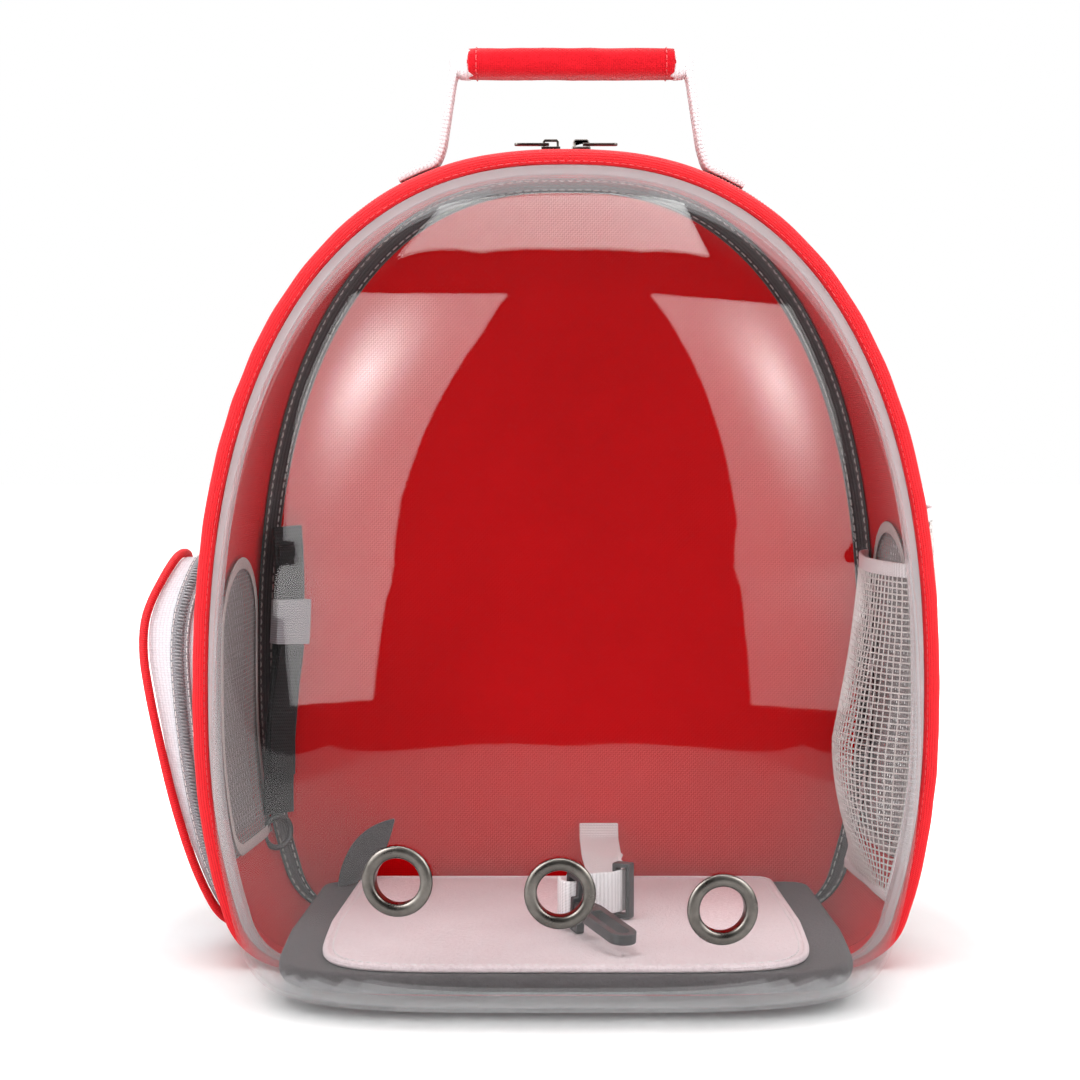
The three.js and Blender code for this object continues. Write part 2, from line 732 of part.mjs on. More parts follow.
function outerNetX(u, v) {
  const { front, back, foot, top, bulge } = OUTER_NET;
  const depth = front + (back - front) * u;
  const z = foot + (top - foot) * v;
  const side = Math.sin(Math.PI * u) ** 0.5;
  const fill = Math.sin(Math.PI * Math.min(v / 0.7, 1) * 0.5) ** 0.7;
  return { x: wallX(depth, z, COVER_INSET) + SEAT_GAP + bulge * side * fill, depth, z };
}

function outerNet() {
  const face = (extra) => (u, v) => {
    const { x, depth, z } = outerNetX(u, v);
    return place(x + extra, depth, z);
  };
  return meshFrom('net_pocket_outer', sheet(9, 8, face(0), face(1.5)), WHITE_NET);
}

function outerHem() {
  const face = (extra) => (u, v) => {
    const { x, depth } = outerNetX(u, 1);
    return place(x + extra, depth, OUTER_NET.top + GAP + HEM_HEIGHT * v);
  };
  return meshFrom('net_pocket_hem', sheet(9, 1, face(0), face(HEM_THICKNESS)), WHITE_WEBBING);
}

// White wedge pocket

function pocketLoop(grow) {
  const middleDepth = (POCKET_FRONT + POCKET_BACK) / 2;
  const middleZ = POCKET_FOOT + (POCKET_TOP - POCKET_FOOT) * POCKET_WAIST;
  const halfDepth = (POCKET_BACK - POCKET_FRONT) / 2 + grow;
  return Array.from({ length: POCKET_STEPS }, (_, i) => {
    const turn = (i / POCKET_STEPS) * Math.PI * 2 - Math.PI / 2;
    const cos = Math.cos(turn);
    const sin = Math.sin(turn);
    const power = sin > 0 ? POCKET_ROUND.top : POCKET_ROUND.foot;
    const reach = (Math.abs(cos) ** power + Math.abs(sin) ** power) ** (-1 / power);
    const halfZ = (sin > 0 ? POCKET_TOP - middleZ : middleZ - POCKET_FOOT) + grow;
    return { depth: middleDepth + halfDepth * reach * cos, z: middleZ + halfZ * reach * sin };
  });
}

function pocketThrow(z) {
  const share = THREE.MathUtils.clamp((z - POCKET_FOOT) / (POCKET_TOP - POCKET_FOOT), 0, 1);
  const next = POCKET_PROFILE.findIndex((row) => row.height >= share);
  const b = POCKET_PROFILE[Math.max(next, 1)];
  const a = POCKET_PROFILE[Math.max(next, 1) - 1];
  const mix = (share - a.height) / (b.height - a.height);
  return POCKET_THROW * (a.throw + (b.throw - a.throw) * mix);
}

// A point of the pocket at a share of its throw, or further out by a bulge
function pocketPoint({ depth, z }, share, bulge = 0) {
  const reach = wallX(depth, z, COVER_INSET) + SEAT_GAP + pocketThrow(z) * share + bulge;
  return place(-reach, depth, z);
}

function pocketRing(grow, share, bulge = 0) {
  return pocketLoop(grow).map((spot) => pocketPoint(spot, share, bulge));
}

function pocketMiddle(bulge) {
  const spot = { depth: (POCKET_FRONT + POCKET_BACK) / 2, z: POCKET_FOOT + (POCKET_TOP - POCKET_FOOT) * 0.5 };
  return pocketPoint(spot, 1, bulge);
}

function sidePocket() {
  const half = (POCKET_BACK - POCKET_FRONT) / 2;
  const rings = [
    pocketRing(-half * 0.55, 1, 2.4 - POCKET_WALL),
    pocketRing(-half * 0.2, 1, 1 - POCKET_WALL),
    pocketRing(-POCKET_WALL, 1, -POCKET_WALL),
    pocketRing(-POCKET_WALL, 0.5),
    pocketRing(-POCKET_WALL, 0),
    pocketRing(0, 0),
    pocketRing(0, 0.5),
    pocketRing(0, 1),
    pocketRing(-half * 0.2, 1, 1),
    pocketRing(-half * 0.55, 1, 2.4),
  ];
  const shell = solidFromRings(rings, { startPole: pocketMiddle(3 - POCKET_WALL), endPole: pocketMiddle(3) });
  return meshFrom('side_pocket', shell, WHITE_FABRIC);
}

function pocketPiping() {
  const off = (POCKET_PIPING + GAP) * 0.86;
  const path = pocketRing(off, 1, off);
  return meshFrom('side_pocket_piping', loopTube(path, POCKET_PIPING, 5, new THREE.Vector3(-1, 0, 0)), RED_PIPING);
}

function pocketZip() {
  const half = POCKET_ZIP_WIDTH / 2;
  const layer = (grow, shift) => pocketLoop(grow).map((spot) => pocketPoint(spot, 0.5, shift));
  const sides = [
    layer(GAP, -half), layer(GAP, half), layer(GAP + POCKET_ZIP_THICKNESS, half), layer(GAP + POCKET_ZIP_THICKNESS, -half),
  ];
  const skip = 3;
  const rings = Array.from({ length: POCKET_STEPS - 2 * skip + 1 }, (_, i) => sides.map((ring) => ring[i + skip]));
  return meshFrom('side_pocket_zip', solidFromRings(rings, { cap: [[0, 0], [1, 0], [1, 1], [0, 1]] }), ZIP_GREY);
}

function pocketSlider() {
  const spot = pocketLoop(GAP + POCKET_ZIP_THICKNESS + GAP + 2)[5];
  const body = new THREE.BoxGeometry(POCKET_ZIP_WIDTH - 1, 3.6, 10);
  const mesh = meshFrom('side_pocket_slider', body, GUNMETAL);
  mesh.position.copy(pocketPoint(spot, 0.5));
  return mesh;
}

// Back

function panelRing(scale, depth) {
  const edge = bodyEdge(BODY_REAR, REAR_BINDING_WIDTH + GAP + COVER_INSET, BINDING_FLOOR + GAP);
  const middle = BODY_TOP / 2;
  return outline(edge).map(({ x, z }) => place(x * scale, depth, middle + (z - middle) * scale));
}

function backPanel() {
  const rear = BODY_REAR + PANEL_FRONT;
  const rings = [
    panelRing(1, PANEL_INNER), panelRing(1, rear), panelRing(0.95, PANEL_OUTER - 2), panelRing(0.6, PANEL_OUTER - 0.3),
  ];
  const middle = BODY_TOP / 2;
  const panel = solidFromRings(rings, {
    startPole: place(0, PANEL_INNER, middle), endPole: place(0, PANEL_OUTER, middle),
  });
  return meshFrom('back_panel', panel, RED_FABRIC);
}

function rearBinding() {
  const from = BODY_REAR + GAP;
  const to = from + REAR_BINDING_DEPTH;
  const inner = REAR_BINDING_WIDTH + COVER_INSET;
  const section = [
    [from, 0, 0], [to - 1.8, 0, 0], [to, 1.6, 0.8],
    [to, inner - 1, BINDING_FLOOR - 0.5], [to - 1.5, inner, BINDING_FLOOR], [from, inner, BINDING_FLOOR],
  ];
  return meshFrom('rear_binding', band(section), RED_PIPING);
}

function seamTape() {
  const inset = COVER_INSET + WALL + GAP * 2;
  const floor = WALL + GAP * 2;
  const back = PANEL_INNER - GAP;
  const section = [
    [back - SEAM_TAPE_WIDTH, inset, floor], [back, inset, floor],
    [back, inset + SEAM_TAPE_WIDTH, floor + 1.2], [back - SEAM_TAPE_WIDTH, inset + 1.4, floor + 0.9],
  ];
  return meshFrom('seam_tape', band(section), GREY_FELT);
}

// Floor

function floorShape(border, front) {
  const back = PANEL_INNER - FLOOR_BACK_CLEARANCE - SEAM_TAPE_WIDTH - border * 0.2;
  const halfFront = HALF_WIDTH - FOOT_INSET + FLOOR_FLARE - border;
  const halfBack = halfFront - FLOOR_NARROWING;
  const corner = FLOOR_CORNER;
  const shape = new THREE.Shape();
  shape.moveTo(halfBack - corner, back);
  shape.lineTo(-halfBack + corner, back);
  shape.quadraticCurveTo(-halfBack, back, -halfBack, back - corner);
  shape.lineTo(-halfFront, 0);
  for (let i = 1; i < FLOOR_NOSE_STEPS; i += 1) {
    const turn = (i / FLOOR_NOSE_STEPS) * Math.PI;
    const cos = Math.cos(turn);
    const sin = Math.sin(turn);
    const reach = (Math.abs(cos) ** FLOOR_NOSE_POWER + sin ** FLOOR_NOSE_POWER) ** (-1 / FLOOR_NOSE_POWER);
    shape.lineTo(-halfFront * reach * cos, -front * reach * sin);
  }
  shape.lineTo(halfFront, 0);
  shape.lineTo(halfBack, back - corner);
  shape.quadraticCurveTo(halfBack, back, halfBack - corner, back);
  return shape;
}

function floorLayer(name, border, front, low, thickness, finish) {
  const bevel = Math.min(FLOOR_EDGE, thickness * 0.4);
  const geometry = new THREE.ExtrudeGeometry(floorShape(border + bevel, front - bevel), {
    depth: thickness - 2 * bevel,
    bevelThickness: bevel,
    bevelSize: bevel,
    bevelSegments: 1,
    curveSegments: 4,
  });
  geometry.translate(0, FLANGE_Y, low + bevel);
  return meshFrom(name, geometry, finish);
}

function floorPieces() {
  const padLow = BOARD_Z + BOARD_THICKNESS + GAP;
  const matLow = padLow + PAD_THICKNESS + GAP;
  return [
    floorLayer('floor_board', BOARD_BORDER, FLOOR_FRONT - BOARD_SETBACK, BOARD_Z, BOARD_THICKNESS, RED_FABRIC),
    floorLayer('floor_pad', PAD_BORDER, FLOOR_FRONT, padLow, PAD_THICKNESS, GREY_FELT),
    floorLayer('mat', MAT_BORDER, FLOOR_FRONT - 4, matLow, MAT_THICKNESS, MAT_PLUSH),
  ];
}

// Carrying handle

function carryWebbing() {
  const across = new THREE.Vector3(0, 1, 0);
  const lift = WEBBING / 2 + SEAT_GAP;
  const foot = (side) => {
    const end = HANDLE_X + side * (HANDLE_SPREAD_FOOT + HANDLE_FOOT);
    const middle = HANDLE_X + side * (HANDLE_SPREAD_FOOT + HANDLE_FOOT / 2);
    const root = HANDLE_X + side * (HANDLE_SPREAD_FOOT + 2);
    return [end, middle, root].map((x) => [x, roofZ(HANDLE_DEPTH, x, COVER_INSET) + lift]);
  };
  const level = HANDLE_TOP - GRIP_THICKNESS / 2;
  const shoulder = (side) => [
    [HANDLE_X + side * (HANDLE_SPREAD_FOOT - 1), roofZ(HANDLE_DEPTH, HANDLE_SPREAD_FOOT, 0) + 9],
    [HANDLE_X + side * HANDLE_SPREAD_TOP, level - 7],
    [HANDLE_X + side * (HANDLE_SPREAD_TOP - 2), level - 1.5],
    [HANDLE_X + side * (HANDLE_SPREAD_TOP - 7), level],
  ];
  const path = [...foot(-1), ...shoulder(-1), ...[...foot(1), ...shoulder(1)].reverse()];
  const stations = path.map(([x, z]) => ({ point: place(x, HANDLE_DEPTH, z), across }));
  return meshFrom('carry_webbing', ribbon(stations, WEBBING_WIDTH, WEBBING), WHITE_WEBBING);
}

function carryGrip() {
  const sides = 16;
  const section = (width, height) => Array.from({ length: sides }, (_, i) => {
    const turn = ((i + 0.5) / sides) * Math.PI * 2;
    const reach = (Math.abs(Math.cos(turn)) ** 3 + Math.abs(Math.sin(turn)) ** 3) ** (-1 / 3);
    return [(width / 2) * reach * Math.cos(turn), (height / 2) * reach * Math.sin(turn)];
  });
  const level = HANDLE_TOP - GRIP_THICKNESS / 2;
  const ring = (share, width, height) => section(width, height)
    .map(([y, z]) => place(HANDLE_X + share * GRIP_LENGTH, HANDLE_DEPTH + y, level + z));
  const slotWidth = WEBBING_WIDTH + 2.4;
  const slotHeight = WEBBING + 1.6;
  const rings = [
    ring(-0.5, GRIP_WIDTH - 2.4, GRIP_THICKNESS - 2.4), ring(-0.485, GRIP_WIDTH, GRIP_THICKNESS - 0.8),
    ring(0, GRIP_WIDTH, GRIP_THICKNESS), ring(0.485, GRIP_WIDTH, GRIP_THICKNESS - 0.8),
    ring(0.5, GRIP_WIDTH - 2.4, GRIP_THICKNESS - 2.4), ring(0.5, slotWidth, slotHeight), ring(-0.5, slotWidth, slotHeight),
  ];
  return meshFrom('carry_grip', solidFromRings(rings, { loop: true }), RED_FABRIC);
}

// Zip sliders and tabs, built pointing to +X with the pivot on the tab's own bar

function roundedPlate(length, width, thickness, hole) {
  const r = width * 0.3;
  const from = -TAB_BAR / 2;
  const shape = new THREE.Shape();
  shape.moveTo(from, -width / 2);
  shape.lineTo(from + length - r, -width / 2);
  shape.quadraticCurveTo(from + length, -width / 2, from + length, -width / 2 + r);
  shape.lineTo(from + length, width / 2 - r);
  shape.quadraticCurveTo(from + length, width / 2, from + length - r, width / 2);
  shape.lineTo(from, width / 2);
  const eye = new THREE.Path();
  eye.moveTo(TAB_BAR / 2, -hole / 2);
  eye.lineTo(TAB_BAR / 2 + TAB_EYE, -hole / 2);
  eye.lineTo(TAB_BAR / 2 + TAB_EYE, hole / 2);
  eye.lineTo(TAB_BAR / 2, hole / 2);
  shape.holes.push(eye);
  const geometry = new THREE.ExtrudeGeometry(shape, { depth: thickness, bevelEnabled: false, curveSegments: 3 });
  geometry.translate(0, 0, -thickness / 2);
  return geometry;
}

function sliderBody() {
  const plate = new THREE.BoxGeometry(SLIDER_LENGTH, SLIDER_WIDTH, SLIDER_HEIGHT);
  plate.translate(0, 0, SLIDER_HEIGHT / 2);
  const half = SLIDER_LENGTH / 2 - 0.6;
  const crown = new THREE.Shape();
  crown.moveTo(-half, -0.5);
  crown.lineTo(-half, CROWN_RISE - 1);
  crown.lineTo(-half + 1, CROWN_RISE);
  crown.lineTo(half - 1, CROWN_RISE);
  crown.lineTo(half, CROWN_RISE - 1);
  crown.lineTo(half, -0.5);
  crown.lineTo(half - CROWN_BAR, -0.5);
  crown.lineTo(half - CROWN_BAR, CROWN_RISE - CROWN_BAR);
  crown.lineTo(-half + CROWN_BAR, CROWN_RISE - CROWN_BAR);
  crown.lineTo(-half + CROWN_BAR, -0.5);
  const bridge = new THREE.ExtrudeGeometry(crown, { depth: CROWN_WIDTH, bevelEnabled: false });
  bridge.rotateX(Math.PI / 2);
  bridge.translate(0, CROWN_WIDTH / 2, SLIDER_HEIGHT);
  return join([plate, bridge]);
}

function zipPullers() {
  const depth = ZIP_START + ZIP_TAPE_DEPTH / 2;
  return [['left', -1], ['right', 1]].flatMap(([word, side]) => {
    const group = new THREE.Group();
    const base = roofZ(depth, SLIDER_OFFSET - SLIDER_LENGTH / 2, COVER_INSET + 0.4 - ZIP_COIL_HEIGHT) + GAP;
    group.position.copy(place(side * SLIDER_OFFSET, depth, base));
    group.rotation.z = side > 0 ? 0 : Math.PI;
    const tab = meshFrom(`zip_tab_${word}`, roundedPlate(TAB_LENGTH, TAB_WIDTH, TAB_THICKNESS, CROWN_WIDTH + 1), GUNMETAL);
    tab.position.set(PIVOT_SHIFT, 0, SLIDER_HEIGHT + PIVOT_RISE);
    group.add(meshFrom(`zip_slider_${word}`, sliderBody(), GUNMETAL), tab);
    return [group];
  });
}

// Black strap, its ring and the felt leaf in the left back corner

function innerStrapX(depth, z) {
  const { setback, width } = INNER_STRAP;
  const inset = COVER_INSET + WALL;
  return Math.min(wallX(depth, WIDEST_Z, inset) - setback, wallX(depth, z, inset) - width * 0.55);
}

function innerStrap() {
  const { top, foot, width, thickness } = INNER_STRAP;
  const depth = PANEL_INNER - SEAM_TAPE_WIDTH - 7;
  const across = new THREE.Vector3(0.75, 0.66, 0);
  const stations = steps(8, 0, 1).map((share) => {
    const z = top + (foot - top) * (share * 8 - 1) / 7;
    const lean = 3 * Math.sin(share * 5);
    return { point: place(lean - innerStrapX(depth, z), depth - 6 * share, z), across };
  });
  return meshFrom('inner_strap', ribbon(stations, width, thickness), BLACK_WEBBING);
}

function innerRing() {
  const { radius, wire } = INNER_RING;
  const ring = meshFrom('inner_ring', new THREE.TorusGeometry(radius, wire, 6, 14), BLACK_PLASTIC);
  const depth = PANEL_INNER - SEAM_TAPE_WIDTH - 13;
  ring.rotation.set(Math.PI / 2, 0, THREE.MathUtils.degToRad(41), 'ZXY');
  const x = 3 * Math.sin(5) - innerStrapX(depth, INNER_STRAP.foot);
  ring.position.copy(place(x, depth, INNER_STRAP.foot - radius - wire - GAP));
  return ring;
}

function cornerFlap() {
  const { height, width, thickness } = CORNER_FLAP;
  const shape = new THREE.Shape();
  shape.moveTo(0, 0);
  shape.quadraticCurveTo(width * 0.75, height * 0.35, 0, height);
  shape.quadraticCurveTo(-width * 0.75, height * 0.55, 0, 0);
  const geometry = new THREE.ExtrudeGeometry(shape, { depth: thickness, bevelEnabled: false, curveSegments: 6 });
  const flap = meshFrom('corner_flap', geometry, GREY_FELT);
  flap.rotation.set(Math.PI / 2, THREE.MathUtils.degToRad(40), 0, 'ZYX');
  const padTop = BOARD_Z + BOARD_THICKNESS + GAP + PAD_THICKNESS;
  flap.position.copy(place(-(HALF_WIDTH - FOOT_INSET - 12), PANEL_INNER - 22, padTop + GAP));
  return flap;
}

// Safety leash

// A point beside the eye, given along and across the leash's axis there
function besideEye(along, across) {
  const cos = Math.cos(HOOK_TURN);
  const sin = Math.sin(HOOK_TURN);
  return [EYE_X + along * cos - across * sin, EYE_DEPTH + along * sin + across * cos];
}

function leashStrap() {
  const panel = PANEL_INNER - LEASH_THICKNESS;
  const flat = new THREE.Vector3(1, 0, 0);
  const tilt = new THREE.Vector3(0.62, 0, 0.78);
  const stand = new THREE.Vector3(0, 0, 1);
  const sewn = [
    [LEASH_X, panel - 1, LEASH_Z + 2, flat], [LEASH_X, panel - 10, LEASH_Z - 4, flat],
    [LEASH_X + 1, panel - 34, LEASH_Z - 8, flat], [LEASH_X + 4, panel - 64, LEASH_Z - 10, tilt],
    [LEASH_X + 9, panel - 88, LEASH_AXIS_Z + 1, stand],
  ];
  const loop = [
    [LEASH_BAR_X + 2.2, LEASH_BAR_DEPTH + 9], [LEASH_BAR_X, LEASH_BAR_DEPTH], [LEASH_BAR_X - 6, LEASH_BAR_DEPTH - 6.5],
    [LEASH_BAR_X - 17, LEASH_BAR_DEPTH - 9], [0.5, -4],
    besideEye(-17, 3), besideEye(-12, 3.8), besideEye(-8, 3.7), besideEye(-5.6, 2.6), besideEye(-5, 0),
    besideEye(-5.6, -2.6), besideEye(-8, -3.7), besideEye(-12, -3.8), besideEye(-17, -2), besideEye(-20, -1),
  ].map(([x, depth]) => [x, depth, LEASH_AXIS_Z, stand]);
  const stations = [...sewn, ...loop].map(([x, depth, z, across]) => ({ point: place(x, depth, z), across }));
  return meshFrom('tether_strap', ribbon(stations, LEASH_WIDTH, LEASH_THICKNESS), WHITE_WEBBING);
}

function leashBar() {
  const height = LEASH_WIDTH + 2 * LEASH_CLEARANCE;
  const frame = new THREE.BoxGeometry(6, LEASH_BAR_SLOT + 2 * EYE_RIM, height + 2 * EYE_RIM);
  const hole = new THREE.BoxGeometry(20, LEASH_BAR_SLOT, height);
  const bar = meshFrom('tether_bar', cut(frame, [hole]), BLACK_PLASTIC);
  bar.rotation.z = LEASH_BAR_TURN;
  bar.position.copy(place(LEASH_BAR_X, LEASH_BAR_DEPTH, LEASH_AXIS_Z));
  return bar;
}

// The eye and the hook share one axis, +X of their group, with the pin through the eye's foot
function leashHook() {
  const group = new THREE.Group();
  group.position.copy(place(EYE_X, EYE_DEPTH, LEASH_AXIS_Z));
  group.rotation.set(0, HOOK_DROP, HOOK_TURN, 'ZYX');

  const bore = HOOK_PIN + GAP;
  const middle = EYE_BAR - EYE_LENGTH / 2;
  const frame = new THREE.BoxGeometry(EYE_LENGTH, EYE_THICKNESS, EYE_HEIGHT);
  frame.translate(middle, 0, 0);
  const slot = new THREE.BoxGeometry(EYE_LENGTH - 2 * EYE_BAR, 20, EYE_HEIGHT - 2 * EYE_RIM);
  slot.translate(middle, 0, 0);
  const boss = new THREE.BoxGeometry(EYE_BAR, 2 * bore + 2 * EYE_RIM, 2 * bore + 2 * EYE_RIM);
  boss.translate(EYE_BAR / 2, 0, 0);
  const drill = new THREE.CylinderGeometry(bore, bore, 2 * EYE_BAR, 12);
  drill.rotateZ(Math.PI / 2);
  drill.translate(EYE_BAR / 2, 0, 0);
  group.add(meshFrom('tether_eye', cut(join([cut(frame, [slot]), boss]), [drill]), BLACK_PLASTIC));

  const start = EYE_BAR + GAP;
  const r = HOOK_WIDTH / 2;
  const shape = new THREE.Shape();
  shape.moveTo(start, -r * 0.6);
  shape.lineTo(start + 8, -r);
  shape.lineTo(HOOK_LENGTH - r, -r);
  shape.absarc(HOOK_LENGTH - r, 0, r, -Math.PI / 2, Math.PI / 2, false);
  shape.lineTo(start + 8, r);
  shape.lineTo(start, r * 0.6);
  const inner = r - 3.4;
  const eye = new THREE.Path();
  eye.moveTo(start + 14, -inner);
  eye.lineTo(HOOK_LENGTH - r, -inner);
  eye.absarc(HOOK_LENGTH - r, 0, inner, -Math.PI / 2, Math.PI / 2, false);
  eye.lineTo(start + 14, inner);
  shape.holes.push(eye);
  const body = new THREE.ExtrudeGeometry(shape, { depth: HOOK_THICKNESS, bevelEnabled: false, curveSegments: 5 });
  body.translate(0, 0, -HOOK_THICKNESS / 2);
  const headLength = 1.4;
  const pinEnd = start + 1;
  const pin = new THREE.CylinderGeometry(HOOK_PIN, HOOK_PIN, pinEnd + GAP + headLength / 2, 12);
  pin.rotateZ(Math.PI / 2);
  pin.translate((pinEnd - GAP - headLength / 2) / 2, 0, 0);
  const head = new THREE.CylinderGeometry(HOOK_PIN + 1.2, HOOK_PIN + 1.2, headLength, 12);
  head.rotateZ(Math.PI / 2);
  head.translate(-headLength / 2 - GAP, 0, 0);
  group.add(meshFrom('snap_hook', join([body, pin, head]), BLACK_PLASTIC));
  return group;
}

// Shoulder straps, finished plainly

function lockPlate() {
  const plate = new THREE.BoxGeometry(LOCK_WIDTH, LOCK_THICKNESS, LOCK_HEIGHT);
  const slots = [0.25, -0.25].map((share) => {
    const slot = new THREE.BoxGeometry(LOCK_WIDTH - LOCK_RIM * 2, 4 * LOCK_THICKNESS, LOCK_SLOT);
    slot.translate(0, 0, share * LOCK_HEIGHT);
    return slot;
  });
  return cut(plate, slots);
}

function shoulderStraps() {
  const across = new THREE.Vector3(1, 0, 0);
  return [['left', -1], ['right', 1]].flatMap(([word, side]) => {
    const rear = PANEL_OUTER + STRAP_THICKNESS / 2 - 0.5;
    const stations = steps(9, 0, 1).map((_, i, all) => {
      const share = i / (all.length - 1);
      const bow = STRAP_BOW * Math.sin(Math.PI * share * 0.86) ** 0.8;
      const x = STRAP_TOP_X + (STRAP_FOOT_X - STRAP_TOP_X) * share ** 1.5;
      return { point: place(side * x, rear + bow, STRAP_TOP_Z + (STRAP_FOOT_Z - STRAP_TOP_Z) * share), across };
    });
    const strap = meshFrom(`shoulder_strap_${word}`, ribbon(stations, STRAP_WIDTH, STRAP_THICKNESS), RED_FABRIC);

    const [before, foot] = stations.slice(-2).map(({ point }) => point);
    const along = foot.clone().sub(before).normalize();
    const up = along.clone().negate();
    const wide = across.clone().addScaledVector(up, -across.dot(up)).normalize();
    const lock = meshFrom(`strap_lock_${word}`, lockPlate(), BLACK_PLASTIC);
    lock.quaternion.setFromRotationMatrix(new THREE.Matrix4().makeBasis(wide, new THREE.Vector3().crossVectors(up, wide), up));
    lock.position.copy(foot).addScaledVector(along, GAP + LOCK_HEIGHT / 2);

    const tailStart = foot.clone().addScaledVector(along, LOCK_HEIGHT + 2 * GAP);
    const tailEnd = place(side * TAIL_X, PANEL_OUTER + WEBBING / 2 - 0.7, TAIL_Z);
    const tail = [0, 0.06, 0.3, 0.6, 0.85, 1].map((share) => {
      const point = tailStart.clone().lerp(tailEnd, share);
      point.y += 3 * Math.sin(Math.PI * share);
      return { point, across };
    });
    tail[1].point.copy(tailStart).addScaledVector(along, 6);
    const webbing = meshFrom(`strap_webbing_${word}`, ribbon(tail, WEBBING_WIDTH, WEBBING), BLACK_WEBBING);
    return [strap, lock, webbing];
  });
}

const carrier = new THREE.Group();
carrier.name = 'bubble_pet_carrier_backpack';
carrier.add(
  bubbleShell(),
  ...eyelets(),
  frontBinding(),
  doorBand(),
  zipTape(),
  hingeCloth(),
  bodyWall(),
  backPanel(),
  rearBinding(),
  seamTape(),
  windowNet('window_net_left', -1, WINDOW_TOP_LEFT, GREY_NET),
  windowNet('window_net_right', 1, WINDOW_TOP_RIGHT, GREY_NET),
  innerNet(),
  outerNet(),
  outerHem(),
  sidePocket(),
  pocketPiping(),
  pocketZip(),
  pocketSlider(),
  ...floorPieces(),
  carryWebbing(),
  carryGrip(),
  ...zipPullers(),
  innerStrap(),
  innerRing(),
  cornerFlap(),
  leashStrap(),
  leashBar(),
  leashHook(),
  ...shoulderStraps(),
);

export default carrier;
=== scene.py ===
"""Bubble pet carrier backpack: the looks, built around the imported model.

Metres, +Z up. The bubble faces -Y and +X is to the right of someone facing it. "Depth" is measured
backwards from the plane where the bubble's flange is sewn in, as it is in the part's source.
"""

from __future__ import annotations

import json
import logging
import math
from dataclasses import dataclass, field
from enum import Enum
from typing import Callable, Sequence

import bmesh
import bpy
import numpy as np
from mathutils import Matrix, Vector

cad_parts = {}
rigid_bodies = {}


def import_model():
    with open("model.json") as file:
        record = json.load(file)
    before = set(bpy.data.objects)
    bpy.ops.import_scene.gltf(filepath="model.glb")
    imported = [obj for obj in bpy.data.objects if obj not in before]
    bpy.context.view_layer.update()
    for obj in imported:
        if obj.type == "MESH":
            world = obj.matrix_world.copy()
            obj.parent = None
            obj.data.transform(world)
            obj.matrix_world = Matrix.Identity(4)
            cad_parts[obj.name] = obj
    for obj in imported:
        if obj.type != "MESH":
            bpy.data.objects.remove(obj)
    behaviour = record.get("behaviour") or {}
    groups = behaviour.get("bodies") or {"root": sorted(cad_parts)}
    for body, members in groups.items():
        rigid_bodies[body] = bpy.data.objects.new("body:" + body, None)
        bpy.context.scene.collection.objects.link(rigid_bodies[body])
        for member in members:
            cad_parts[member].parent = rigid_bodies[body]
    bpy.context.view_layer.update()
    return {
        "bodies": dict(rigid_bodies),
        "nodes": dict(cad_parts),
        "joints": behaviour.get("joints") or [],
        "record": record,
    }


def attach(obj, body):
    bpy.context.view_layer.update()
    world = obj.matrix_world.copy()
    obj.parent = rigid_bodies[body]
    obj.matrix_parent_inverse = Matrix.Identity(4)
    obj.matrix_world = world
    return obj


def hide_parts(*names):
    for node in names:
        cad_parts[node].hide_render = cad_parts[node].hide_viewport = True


log = logging.getLogger("carrier")
Array = np.ndarray
Socket = bpy.types.NodeSocket
Piece = bpy.types.Object
TAU = 2 * math.pi
ACROSS = np.array([1.0, 0.0, 0.0])
BACK = np.array([0.0, 1.0, 0.0])
UP = np.array([0.0, 0.0, 1.0])


# Points and faces


def unit(vectors: Array) -> Array:
    """Vectors divided by their own lengths."""
    return vectors / np.maximum(np.linalg.norm(vectors, axis=-1, keepdims=True), 1e-12)


def run_length(grid: Array, axis: int, wrap: bool) -> Array:
    """Distance along one axis of a grid: the running sum of its mean steps.

    Args:
        grid: Points, rows by columns by three.
        axis: 0 along the rows, 1 along the columns.
        wrap: Whether the last point is joined to the first.

    Returns:
        One distance for each line across that axis, starting at 0.
    """
    closed = np.concatenate([grid, np.take(grid, [0], axis)], axis) if wrap else grid
    step = np.linalg.norm(np.diff(closed, axis=axis), axis=-1).mean(axis=1 - axis)
    return np.concatenate([[0.0], np.cumsum(step)])


